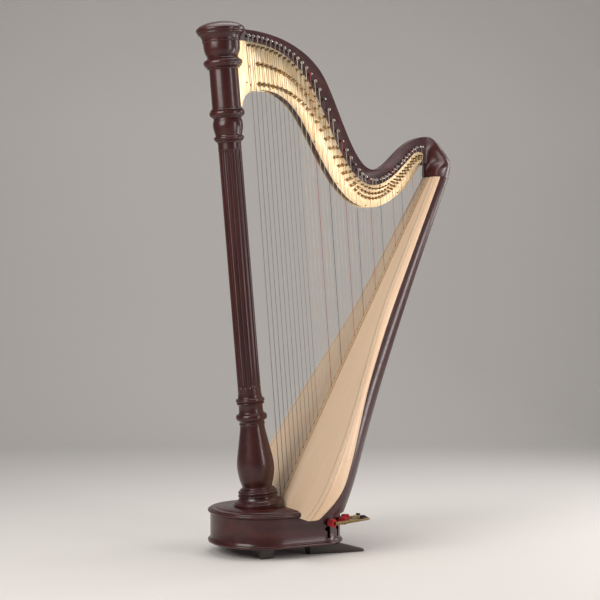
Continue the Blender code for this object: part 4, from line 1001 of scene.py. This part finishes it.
def string_foot(place):
    """Distance along a string where it meets the string line of the board."""
    run = UP.z + BOARD_SLOPE * UP.x
    rise = -UP.x + BOARD_SLOPE * UP.z
    return (place * run - LINE_FOOT + BOARD_SLOPE * BODY_FOOT) / rise


def crest_along(place, offset=0.0):
    """Distance along a string line up to the plate's upper edge, or to a line outside that edge."""
    edge = chained(PLATE_CREST, (24, 24, 24))
    edge += [Vector(p) for p in (PLATE_CREST[-1], (0.642, 1.450), (0.700, 1.450))]
    runs = [q - o for o, q in zip(edge[:1] + edge[:-1], edge[1:] + edge[-1:])]
    if offset:
        edge = [p + Vector((-run.y, run.x)).normalized() * offset for p, run in zip(edge, runs)]
    across = [p.x * ACROSS.x + p.y * ACROSS.z for p in edge]
    along = [p.x * UP.x + p.y * UP.z for p in edge]
    for k in range(len(edge) - 1):
        if across[k] <= place <= across[k + 1]:
            share = (place - across[k]) / (across[k + 1] - across[k])
            return along[k] + share * (along[k + 1] - along[k])
    return along[-1]


def plate_face(point):
    """Sideways place of the left plate's face at a point."""
    return neck_left(point.x) - GAP - PLATE_THICK


def string_radius(number):
    """Wound strings and plain ones each get thinner up the scale."""
    if number < BASS_WIRES:
        return 0.00135 - 0.000035 * number
    return 0.00125 - 0.00085 * number / (STRING_COUNT - 1)


class StringLine:
    """Where one string runs and where its pins and discs stand."""

    def __init__(self, number):
        self.number = number
        self.place = string_place(number)
        self.foot = string_foot(self.place)
        self.head = crest_along(self.place) - PIN_INSET
        self.pin = crest_along(self.place, TUNING_OFFSET)
        self.length = self.head - self.foot
        self.top_side = plate_face(leaning(self.place, 0, self.head)) - STRING_CLEAR
        self.radius = string_radius(number)

    def at(self, along):
        side = self.top_side * min(1.0, (along - self.foot) / self.length)
        return leaning(self.place, side, along)

    def pin_centre(self):
        return leaning(self.place + TUNING_RADIUS + self.radius, 0, self.pin)

    def path(self):
        start = self.foot + THROUGH_RIB - 0.002
        straight = [self.at(a) for a in spread(start, self.head, 12)]
        centre = self.pin_centre()
        reach = TUNING_RADIUS + self.radius
        coil = []
        for k in range(COIL_POINTS):
            turn = math.pi - 2 * math.pi * k / COIL_FACETS
            side = self.top_side + COIL_PITCH * self.radius * k / COIL_FACETS
            coil.append(centre + leaning(reach * math.cos(turn), side, reach * math.sin(turn)))
        return straight + coil


STRINGS = [StringLine(number) for number in range(STRING_COUNT)]
STRING_GROUPS = (
    ("bass_wire_strings_wound", BASS_WIRE, "bass_wire", ["bass_wire_strings"]),
    ("gut_strings_plain", GUT_PLAIN, "gut", ["gut_strings"]),
    ("c_strings_red", GUT_RED, "gut", []),
    ("f_strings_dark", GUT_DARK, "gut", []),
)


def string_group(line):
    """Name of the piece that a string belongs to."""
    if line.number < BASS_WIRES:
        return "bass_wire_strings_wound"
    note = SCALE_NOTES[line.number % 7]
    return {"C": "c_strings_red", "F": "f_strings_dark"}.get(note, "gut_strings_plain")


def strings():
    for name, look, slot, nodes in STRING_GROUPS:
        shapes = [tube(line.path(), line.radius) for line in STRINGS if string_group(line) == name]
        dress(solid(name, *merged(shapes), sharp=60), look, nodes)


def placed(point, turn=0.0, scale=1.0, flip=False):
    """Matrix for a small shape at a point, turned about Y; flip makes it face +Y."""
    spin = Matrix.Rotation(turn, 4, "Y")
    face = Matrix.Rotation(math.pi, 4, "Z") if flip else Matrix.Identity(4)
    return Matrix.Translation(point) @ face @ spin @ Matrix.Diagonal((scale, 1.0, scale, 1.0))


def tuning_pins():
    """Steel pins through the neck: round with the string's coil on the left, square heads on the right."""
    left, right = [], []
    for line in STRINGS:
        x, z = line.pin_centre().xz
        left.append(placed(Vector((x, neck_left(x) - 0.0002, z))))
        right.append(placed(Vector((x, neck_right(x) + 0.0002, z)), 0.3 * line.number, flip=True))
    tip = [(0.0029, 0.0172), (0.0021, 0.0178), (0.0004, 0.0180)]
    shank = spun([(TUNING_RADIUS, 0.0), (TUNING_RADIUS, 0.0150)] + tip)
    dress(scatter("tuning_pins_string_side", shank, left), PIN_STEEL)
    collar = spun([(0.0036, 0.0), (0.0036, 0.0080), (0.0030, 0.0092), (0.0004, 0.0092)])
    heads = ((0.0023, 0.0090), (0.0020, 0.0235), (0.0016, 0.0242))
    square = skin([[Vector((u * half, -height, v * half)) for u, v in CORNERS] for half, height in heads])
    dress(scatter("tuning_pins_key_side", merged([collar, square]), right), PIN_STEEL)


def bridge_pins():
    """Grooved posts that each string bears on, screwed into flanges on the plate."""
    flange = [(0.0044, 0.0), (0.0044, 0.0010), (0.0038, 0.0016), (0.0004, 0.0016)]
    post = [(0.0024, 0.0014), (0.0024, 0.0072), (0.0018, 0.0080), (0.0018, 0.0088), (0.0027, 0.0096),
            (0.0027, 0.0112), (0.0020, 0.0118), (0.0004, 0.0118)]
    places = []
    for line in STRINGS:
        place = leaning(line.place + 0.0021 + line.radius, 0, line.head)
        place.y = plate_face(place)
        places.append(placed(place, 0.0, 1.30 if line.number < THICK_STRINGS else 1.0))
    dress(scatter("bridge_pin_flanges", spun(flange), places), DISC_BRASS_WITH_SHADE)
    dress(scatter("bridge_pins", spun(post), places), PRONG_BRONZE_WITH_SHADE)


# A disc's edge and raised middle, as (share of the radius, height)
DISC_PROFILE = (
    (0.93, 0.0), (1.0, 0.0005), (1.0, 0.0019), (0.93, 0.0025), (0.55, 0.0025),
    (0.50, 0.0021), (0.42, 0.0021), (0.38, 0.0032), (0.20, 0.0035),
)
STUD_PROFILE = ((1.25, 0.0024), (1.25, 0.0037), (1.0, 0.0043), (1.0, 0.0100), (0.75, 0.0108), (0.15, 0.0110))
STUD_REACH, STUD_RADIUS = 0.74, 0.19           # shares of the disc's radius


def disc_shapes(radius):
    """A fork disc and its two prongs, for a given disc radius."""
    disc = spun([(radius * share, height) for share, height in DISC_PROFILE] + [(0.0003, 0.0035)], 28)
    stud = spun([(radius * STUD_RADIUS * share, height) for share, height in STUD_PROFILE], 12)
    studs = [moved(stud, Matrix.Translation((side * radius * STUD_REACH, 0, 0))) for side in (-1, 1)]
    return disc, merged(studs)


def disc_drops(number):
    """Share of the string above its two discs; it grows up the treble and shrinks in the deep bass."""
    treble = smooth_step((number - LAST_MOVING_DISC) / TREBLE_STRINGS)
    bass = BASS_DROP * (1 - smooth_step(number / FIRST_MOVING_DISC))
    natural = NATURAL_DROP + TREBLE_NATURAL_DROP * treble - bass
    return natural, SHARP_DROP + TREBLE_SHARP_DROP * treble - bass


def disc_radius(line, gap):
    """Radius of a string's discs; the moving ones have one size, small enough to turn freely."""
    if FIRST_MOVING_DISC <= line.number <= LAST_MOVING_DISC:
        return MOVING_DISC_RADIUS
    return min(LARGEST_DISC - DISC_SHRINK * line.number, DISC_FIT * gap)


def disc_place(line, along, start):
    place = leaning(line.place, 0, along)
    place.y = plate_face(place) - DISC_CLEAR
    return placed(place, math.atan2(UP.x, UP.z) + math.pi / 2 - start)


def fork_discs():
    """Two rows of fork discs; the lowest two strings have none, and one octave turns with its pedals."""
    loose = {"natural": ([], []), "sharp": ([], [])}
    for line in STRINGS[2:]:
        natural, sharp = (line.head - drop * line.length for drop in disc_drops(line.number))
        shapes = disc_shapes(disc_radius(line, natural - sharp))
        for row, along, start in (("natural", natural, NATURAL_START), ("sharp", sharp, SHARP_START)):
            disc, prongs = (moved(shape, disc_place(line, along, start)) for shape in shapes)
            if FIRST_MOVING_DISC <= line.number <= LAST_MOVING_DISC:
                moving_disc(row, SCALE_NOTES[line.number % 7], disc, prongs)
            else:
                loose[row][0].append(disc)
                loose[row][1].append(prongs)
    for row, (discs, prongs) in loose.items():
        dress(solid(f"discs_{row}_other_octaves", *merged(discs)), DISC_BRASS_WITH_SHADE)
        dress(solid(f"disc_prongs_{row}_other_octaves", *merged(prongs)), PRONG_BRONZE_WITH_SHADE)


def moving_disc(row, note, disc, prongs):
    name, body = f"disc_{row}_{note}3", f"{row}_disc_{note}"
    dress(solid(name + "_turned", *disc), DISC_BRASS_WITH_SHADE, [name], body)
    dress(solid(name + "_prongs", *prongs), PRONG_BRONZE_WITH_SHADE, (), body)


def slotted_screw(radius):
    """A low domed screw head with a slot."""
    edge = [(radius, 0.0), (radius, 0.0004)]
    dome = [(radius * 0.92, 0.0009), (radius * 0.6, 0.0013), (0.0002, 0.0015)]
    head = solid("guide_screw", *spun(edge + dome, 24))
    half, long, depth = radius * 0.14, radius * 2, 0.0008
    bar = [[Vector((u * half, y, v * long)) for u, v in CORNERS] for y in (-depth, -0.004)]
    carve(head, [solid("guide_slot", *skin(bar))])
    shape = ([v.co.copy() for v in head.data.vertices], [tuple(p.vertices) for p in head.data.polygons])
    bpy.data.objects.remove(head, do_unlink=True)
    return shape


def plate_screws():
    line = inset(plate_outline()[:-2], 0.0065, 0.75)
    stops = [line[k] for k in (*range(12, 90, 11), *range(106, 182, 12))]
    stops += [Vector(p) for p in ((-0.060, 1.725), (-0.071, 1.668), (-0.056, 1.660), (-0.068, 1.800))]
    face = GAP + PLATE_THICK
    left, right = [], []
    for number, (x, z) in enumerate(stops):
        left.append(placed(Vector((x, neck_left(x) - face, z)), 0.7 * number))
        right.append(placed(Vector((x, neck_right(x) + face, z)), 1.3 * number, flip=True))
    shape = slotted_screw(0.0030)
    dress(scatter("plate_screws_left", shape, left), DISC_BRASS_WITH_SHADE)
    dress(scatter("plate_screws_right", shape, right), DISC_BRASS_WITH_SHADE)


EYELET_PROFILE = (
    (0.0034, 0.0), (0.0034, 0.0005), (0.0029, 0.0009), (0.0022, 0.0008), (0.0018, 0.0002), (0.0018, 0.0),
)


def string_eyelets():
    """Small turned eyelets that line the string holes in the rib."""
    normal = Vector((-1, 0, BOARD_SLOPE)).normalized()
    turn = Vector((0, -1, 0)).rotation_difference(normal).to_matrix().to_4x4()
    places = []
    for line in STRINGS:
        size = 1.0 if line.number < BASS_WIRES else 0.8
        place = Matrix.Translation(line.at(line.foot + THROUGH_RIB))
        places.append(place @ turn @ Matrix.Diagonal((size, 1, size, 1)))
    eyelet = skin(spun_rings(EYELET_PROFILE, 16), loop=True)
    dress(scatter("string_eyelets", eyelet, places), PRONG_BRONZE_WITH_SHADE)


# ---------------------------------------------------------------- base

def base_outline(set_in, end_x=None):
    """Plan of the base, set in from its mouldings; end_x leaves out everything behind that line."""
    half, front, corner = BASE_HALF - set_in, BASE_FRONT - set_in, BASE_CORNER - set_in
    power = 2 / BASE_SQUARE
    right = []
    for k in range(33):
        turn = math.pi / 2 * k / 32
        right.append((-front * math.cos(turn) ** power, half * math.sin(turn) ** power))
    if end_x is not None:
        right += [(x, half) for x in spread(0.02, end_x, 8)]
    else:
        right += [(x, half) for x in spread(0.03, BASE_CORNER_X - 0.03, 4)]
        for k in range(24):
            turn = math.pi / 2 * (1 - k / 23)
            y = BASE_HALF - BASE_CORNER + corner * math.sin(turn)
            right.append((BASE_CORNER_X + corner * math.cos(turn), y))
    return right + [(x, -y) for x, y in right[1:]][::-1]


def base_ring(set_in, level, end_x=None):
    return [Vector((x, y, level)) for x, y in base_outline(set_in, end_x)]


def base_bottom_plate():
    low, high = BASE_LOW.z, BASE_HIGH.z
    middle, half = (low + high) / 2, (high - low) / 2
    rings = [base_ring(0.014, low)]
    for k in range(13):
        turn = math.pi * (k / 12 - 0.5)
        rings.append(base_ring(half * (1 - math.cos(turn)), middle + half * math.sin(turn)))
    rings.append(base_ring(0.016, high))
    item = solid("base_bottom_plate_moulded", *skin(rings), sharp=40)
    dress(item, MAHOGANY_BASE, ["base_bottom_plate"])


def slot_point(angle, offset=0.0):
    """Place on the drum's outer wall round a rear corner, moved outwards by offset."""
    turn = math.radians(abs(angle))
    radius = BASE_CORNER - WALL_INSET + offset
    side = math.copysign(BASE_HALF - BASE_CORNER + radius * math.sin(turn), angle)
    return Vector((BASE_CORNER_X + radius * math.cos(turn), side, 0))


def slot_cutter(angle):
    """Cutter for a pedal slot with its side notch."""
    side = math.copysign(1, angle)
    turn = math.radians(abs(angle))
    out = Vector((math.cos(turn), side * math.sin(turn), 0))
    along = Vector((-out.y, out.x, 0))
    middle = slot_point(angle, -WALL_THICK / 2)
    notch_z = (SLOT_LOW + SLOT_HIGH) / 2
    half = SLOT_WIDTH / 2
    outline = (
        (-half, SLOT_LOW), (half, SLOT_LOW), (half, SLOT_HIGH), (-half, SLOT_HIGH),
        (-half, notch_z + NOTCH_MOUTH), (-half - NOTCH_DEEP, notch_z + NOTCH_HALF),
        (-half - NOTCH_DEEP, notch_z - NOTCH_HALF), (-half, notch_z - NOTCH_MOUTH),
    )
    rings = []
    for reach in (-SLOT_CUT, SLOT_CUT):
        start = middle + out * reach
        rings.append([start + along * (u * -side) + Vector((0, 0, z)) for u, z in outline])
    return solid("guide_slot", *skin(rings))


def base_drum():
    low, high = DRUM_LOW.z, DRUM_HIGH.z
    flare = ((0.004, 0.0), (0.0035, 0.0015), (0.0015, 0.004), (0.0, 0.008), (0.0, (high - low) / 2))
    rings = [base_ring(WALL_INSET - out, low + rise) for out, rise in flare]
    rings.append(base_ring(WALL_INSET, high))
    rings += [base_ring(WALL_INSET + WALL_THICK, high), base_ring(WALL_INSET + WALL_THICK, low)]
    drum = solid("base_drum_bent", *skin(rings, loop=True), sharp=40)
    carve(drum, [slot_cutter(angle) for angle in SLOT_ANGLES], 40)
    dress(drum, MAHOGANY_BASE, ["base_drum"])


def base_top_plate():
    """Moulded cap: bullnose, bead and a stepped rise to the flat under the column."""
    low, high = TOP_LOW.z, TOP_HIGH.z
    steps = [(0.0100, low), (0.0080, low + 0.0004), (0.0068, low + 0.0018)]
    for k in range(11):
        turn = math.pi * (0.93 * k / 10 - 0.45)
        steps.append((0.0055 * (1 - math.cos(turn)), low + 0.0078 + 0.0056 * math.sin(turn)))
    steps += [(0.0078, low + 0.0136), (0.0080, low + 0.0146), (0.0086, low + 0.0160), (0.0104, low + 0.0170),
              (0.0130, low + 0.0174), (0.0200, low + 0.0178), (0.0300, low + 0.0184), (0.0310, low + 0.0190),
              (0.0316, low + 0.0202), (0.0330, high)]
    rings = [base_ring(set_in, level, string_line_x(level) - 0.0008) for set_in, level in steps]
    plate = solid("base_top_plate_moulded", *skin(rings), sharp=40)
    guide = [column_ring(BORE + 0.003, along) for along in (0.10, 0.20)]
    carve(plate, [solid("guide_rods", *skin(guide))], 40)
    dress(plate, MAHOGANY_BASE, ["base_top_plate"])


def soften(item, width, segments):
    """Rounds a piece's edges for good."""
    bevel = item.modifiers.new("edges", "BEVEL")
    bevel.width = width
    bevel.segments = segments
    bevel.limit_method = "ANGLE"
    bpy.context.view_layer.update()
    mesh = bpy.data.meshes.new_from_object(item.evaluated_get(bpy.context.evaluated_depsgraph_get()))
    item.modifiers.clear()
    item.data = mesh
    shade(mesh, 40)
    return item


# Sections of a rear foot: share of its length, middle, half width, height
REAR_FOOT = (
    (0.0, 0.120, 0.020, 0.0380), (0.25, 0.1265, 0.020, 0.0376), (0.569, 0.141, 0.019, 0.034),
    (0.80, 0.1510, 0.0158, 0.0215), (1.0, 0.158, 0.012, 0.010),
)


def finished_foot(name, ending, rings, edge, steps):
    foot = soften(solid(name + ending, *skin(rings)), edge, steps)
    dress(foot, FOOT_WOOD, [name])


def front_foot(name):
    low, high = box_from_foot(name)
    rings = []
    for level, draw in ((0.0, 0.0015), (high.z, 0.0)):
        middle, half = (low + high) / 2, (high - low) / 2 - Vector((draw, draw, 0))
        rings.append([Vector((middle.x + u * half.x, middle.y + v * half.y, level)) for u, v in CORNERS])
    finished_foot(name, "_block", rings, 0.003, 4)


def rear_foot(name, side):
    low, high = box_from_foot(name)
    rings = []
    for share, middle, half, top in REAR_FOOT:
        x = low.x + (high.x - low.x) * share
        section = ((-1, 0), (1, 0), (1, min(top, high.z)), (-1, min(top, high.z)))
        rings.append([Vector((x, side * middle + v * half, z)) for v, z in section])
    finished_foot(name, "_wedge", rings, 0.0025, 3)


def feet():
    for word, side in SIDES:
        front_foot("foot_front_" + word)
        rear_foot("foot_rear_" + word, side)


# ---------------------------------------------------------------- pedals

def pedal_path(number):
    """Plan of an arm: under the column, out through its slot, back towards the player."""
    angle = SLOT_ANGLES[number]
    y = (number - 3) * PEDAL_PITCH
    inside, outside = slot_point(angle, -WALL_THICK - 0.004), slot_point(angle, 0.038)
    bend = 0.045 - 0.012 * abs(number - 3)
    tip = Vector((PEDAL_TIP_X, outside.y * 0.80, 0))
    return [Vector((-PIVOT_BEFORE_FOOT - 0.010, y, 0)), Vector((bend, y, 0)), inside, outside, tip]


def bar_ring(place, heading, wide, high, middle_z, edge=0.0018):
    """A rounded rectangular section across a level heading."""
    side = Vector((-heading.y, heading.x, 0)).normalized()
    outline = rounded_box(wide / 2, high / 2, edge)
    return [place + side * across + Vector((0, 0, middle_z + up)) for across, up in outline]


def sweep(stations, middle_z):
    """Rings over (place, width, height) stations of a bar that lies level."""
    rings = []
    places = [s[0] for s in stations]
    for k, (place, wide, high) in enumerate(stations):
        back = places[k] - places[k - 1] if k else places[1] - places[0]
        ahead = places[k + 1] - place if k < len(places) - 1 else back
        heading = (back.normalized() + ahead.normalized()).normalized()
        rings.append(bar_ring(place, heading, wide, high, middle_z))
    return rings


# From just past the felt to the tip, for an arm and for its pad: share of the run, width, height
ARM_END = (
    (0.06, 0.0062, 0.0120), (0.30, 0.0060, 0.0115), (0.55, 0.0062, 0.0112), (0.66, 0.0085, 0.0105),
    (0.72, 0.0125, 0.0085), (0.94, 0.0145, 0.0080), (0.98, 0.0120, 0.0075), (1.0, 0.0085, 0.0060),
)
TREAD_PAD = (
    (0.735, 0.0100, 0.0030), (0.75, 0.0125, 0.0042), (0.84, 0.0138, 0.0044), (0.925, 0.0140, 0.0042),
    (0.94, 0.0115, 0.0030),
)
# A cross rib of the pad: distance from its middle as a share of the run, height
TREAD_RIB = ((-0.007, 0.0012), (-0.0035, 0.0022), (0.0035, 0.0022), (0.007, 0.0012))
PAD_RISE, RIB_RISE = 0.0058, 0.0085


def arm_stations(path, start, run):
    """The cast arm: even to start, just past its felt, then widened into a flat tread."""
    knee = [path[1].lerp(path[0], 0.10), path[1], path[1].lerp(path[2], 0.10)]
    even = [(place, ARM_WIDE, ARM_HIGH) for place in (path[0], *knee, path[2], start)]
    return even + [(start + run * share, wide, high) for share, wide, high in ARM_END]


def tread_shapes(start, run):
    """Rubber pad on the tread, with cross ribs."""
    pad = [(start + run * share, wide, high) for share, wide, high in TREAD_PAD]
    shapes = [skin(sweep(pad, PIVOT.z + PAD_RISE))]
    for k in range(TREAD_RIBS):
        middle = 0.765 + 0.028 * k
        rib = [(start + run * (middle + share), 0.0128, high) for share, high in TREAD_RIB]
        shapes.append(skin(sweep_thin(rib, PIVOT.z + RIB_RISE)))
    return shapes


def pedals():
    for number, note in enumerate(PEDAL_NOTES):
        path = pedal_path(number)
        start = path[3] + (path[3] - path[2]).normalized() * 0.002
        run = path[4] - start
        body = "pedal_body_" + note
        arm = solid(f"pedal_{note}_cast", *skin(sweep(arm_stations(path, start, run), PIVOT.z)), sharp=50)
        dress(arm, PEDAL_BRASS, ["pedal_" + note], body)
        tread = solid(f"pedal_tread_{note}", *merged(tread_shapes(start, run)), sharp=50)
        dress(tread, TREAD_RUBBER, (), body)
        dress(felt_sleeve(number, path), RED_FELT, ["pedal_felt_" + note], body)


def sweep_thin(stations, middle_z):
    """A small cross rib: plain rectangular sections."""
    heading = (stations[-1][0] - stations[0][0]).normalized()
    side = Vector((-heading.y, heading.x, 0))
    rings = []
    for place, wide, high in stations:
        middle = place + Vector((0, 0, middle_z))
        rings.append([middle + side * (u * wide / 2) + Vector((0, 0, v * high / 2)) for u, v in CORNERS])
    return rings


def felt_radius(spot, share, turn):
    """Radius of the felt: pulled in at both ends, lumpy as wool is, and overlapping once."""
    waist = FELT_WAIST * math.exp(-((share - 0.55) / 0.06) ** 2)
    pull = 1 - FELT_PULL * abs(2 * share - 1) ** 3.5 - waist
    lump = 1 + 0.045 * noise.noise(spot * 1.6) + 0.012 * noise.noise(spot * 7.0)
    overlap = FELT_OVERLAP * (1 - turn / (2 * math.pi))
    return FELT_RADIUS * 0.97 * pull * lump * (1 - overlap)


def felt_bore(turn):
    """Place on the arm's rectangular outline, in a given direction from its middle."""
    u, w = math.cos(turn), math.sin(turn)
    reach = 1 / max(abs(u), abs(w))
    return (ARM_WIDE / 2 + GAP) * u * reach, (ARM_HIGH / 2 + GAP) * w * reach


def felt_sleeve(number, path):
    """Thick felt wound twice round the arm."""
    heading = (path[3] - path[2]).normalized()
    start = slot_point(SLOT_ANGLES[number], FELT_OFF)
    side, up = Vector((-heading.y, heading.x, 0)), Vector((0, 0, 1))
    first = path[2] + heading * (start - path[2]).dot(heading) + up * PIVOT.z
    rings = []
    for share in spread(0.0, 1.0, 19):
        ring = []
        for turn in turns_of(36):
            spot = first * 60 + Vector((math.cos(turn), math.sin(turn), 3.0 * share))
            radius = felt_radius(spot, share, turn)
            out = side * math.cos(turn) + up * math.sin(turn)
            ring.append(first + heading * (FELT_LONG * share) + out * radius)
        rings.append(ring)
    for share in (1.0, 0.0):
        middle = first + heading * (FELT_LONG * share)
        rings.append([middle + side * across + up * rise for across, rise in map(felt_bore, turns_of(36))])
    return solid("pedal_felt_" + PEDAL_NOTES[number] + "_wool", *skin(rings, loop=True), sharp=60)


# ---------------------------------------------------------------- CAD nodes that stay

def paint(node, look):
    mesh = frame["nodes"][node].data
    mesh.materials.clear()
    mesh.materials.append(look)


def paint_kept_nodes():
    paint("tail_block", MAPLE_BLOCK)
    paint("pivot_rod", ROD_STEEL)
    paint("pivot_block", CAST_BLOCK)
    for note in PEDAL_NOTES:
        paint("pedal_rod_" + note, ROD_STEEL)


# ---------------------------------------------------------------- studio

def plain_finish(name, colour, rough):
    """Painted studio surface with a faint mottle."""
    look = Look(name)
    place = look.place()
    cloud = look.noise(place, 1.5, 3.0)
    grit = look.noise(place, 260.0, 2.0)
    tone = look.mix(look.span(cloud, 0.0, 0.5), colour, tuple(0.94 * c for c in colour))
    look.set(Base_Color=tone, Roughness=rough, Normal=look.bump(grit, 0.05, 0.0003))
    return look.material


SHEET_HALF, SHEET_FLAT, SHEET_CURVE, SHEET_HIGH = 9.0, 3.0, 2.0, 7.0


def studio_sheet():
    """Floor that curves up into a backdrop behind the harp."""
    section = [(-SHEET_HALF, 0.0), (SHEET_FLAT, 0.0)]
    for k in range(1, 25):
        turn = math.pi / 2 * k / 24
        section.append((SHEET_FLAT + SHEET_CURVE * math.sin(turn), SHEET_CURVE * (1 - math.cos(turn))))
    section.append((SHEET_FLAT + SHEET_CURVE, SHEET_HIGH))
    points = []
    for across in (-SHEET_HALF, SHEET_HALF):
        points += [VIEW * run + VIEW_SIDE * across + Vector((0, 0, rise)) for run, rise in section]
    count = len(section)
    faces = [(k, k + 1, count + k + 1, count + k) for k in range(count - 1)]
    mesh = bpy.data.meshes.new("studio_floor")
    mesh.from_pydata([tuple(p) for p in points], [], faces)
    mesh.shade_smooth()
    sheet = bpy.data.objects.new("studio_floor", mesh)
    bpy.context.scene.collection.objects.link(sheet)
    mesh.materials.append(plain_finish("studio_paint", (0.74, 0.72, 0.69), 0.62))


# Soft lights: place ahead, right and up from the harp's middle, width and height, power, colour
LIGHTS = {
    "key": ((-2.6, -2.6, 1.5), (2.2, 2.2), 112, (1.0, 0.96, 0.92)),
    "strip_right": ((-2.2, 2.9, 0.5), (0.7, 2.2), 40, (1.0, 0.93, 0.92)),
    "shell_right": ((0.0, 2.6, -0.25), (0.5, 1.2), 22, (1.0, 0.93, 0.92)),
    "rim_right": ((1.3, 2.2, 0.9), (0.8, 2.0), 26, (1.0, 0.97, 0.96)),
    "top": ((0.0, 0.0, 2.6), (2.4, 2.4), 60, (1.0, 0.98, 0.96)),
}


def softboxes():
    middle = (cad_low + cad_high) / 2
    for name, ((ahead, right, up), (wide, high), power, colour) in LIGHTS.items():
        light = bpy.data.lights.new(name, "AREA")
        light.shape = "RECTANGLE"
        light.size = wide
        light.size_y = high
        light.energy = power
        light.color = colour
        item = bpy.data.objects.new(name, light)
        item.location = middle + VIEW * ahead + VIEW_SIDE * right + Vector((0, 0, up))
        item.rotation_euler = (middle - item.location).to_track_quat("-Z", "Y").to_euler()
        bpy.context.scene.collection.objects.link(item)


def studio():
    studio_sheet()
    softboxes()
    world = bpy.data.worlds.new("studio")
    world.use_nodes = True
    background = world.node_tree.nodes["Background"]
    background.inputs["Color"].default_value = (0.85, 0.85, 0.88, 1)
    background.inputs["Strength"].default_value = 0.17
    bpy.context.scene.world = world
    bpy.context.scene.view_settings.view_transform = "Standard"


CAMERA_PLACE = Vector((-2.2821, -4.8941, 1.02))
CAMERA_TURN, CAMERA_DIP = math.radians(-26.43), math.radians(-1.277)


def camera():
    """Stands in front and to the harp's left, as the photograph's camera does."""
    lens = bpy.data.cameras.new("camera")
    lens.lens = 90.7
    lens.sensor_width = 36.0
    item = bpy.data.objects.new("camera", lens)
    item.location = FOOT + CAMERA_PLACE
    item.rotation_euler = (math.pi / 2 + CAMERA_DIP, 0.0, CAMERA_TURN)
    bpy.context.scene.collection.objects.link(item)
    bpy.context.scene.camera = item


def build():
    turned_column_pieces()
    fluted_shaft()
    neck_and_plates()
    shoulder_cap()
    soundboard()
    for word, side in SIDES:
        board_inlay(word, side)
    string_rib()
    for word, side in SIDES:
        edge_band(word, side)
    soundbox_shell()
    strings()
    tuning_pins()
    bridge_pins()
    fork_discs()
    plate_screws()
    string_eyelets()
    base_bottom_plate()
    base_drum()
    base_top_plate()
    feet()
    pedals()
    paint_kept_nodes()
    studio()
    camera()


build()
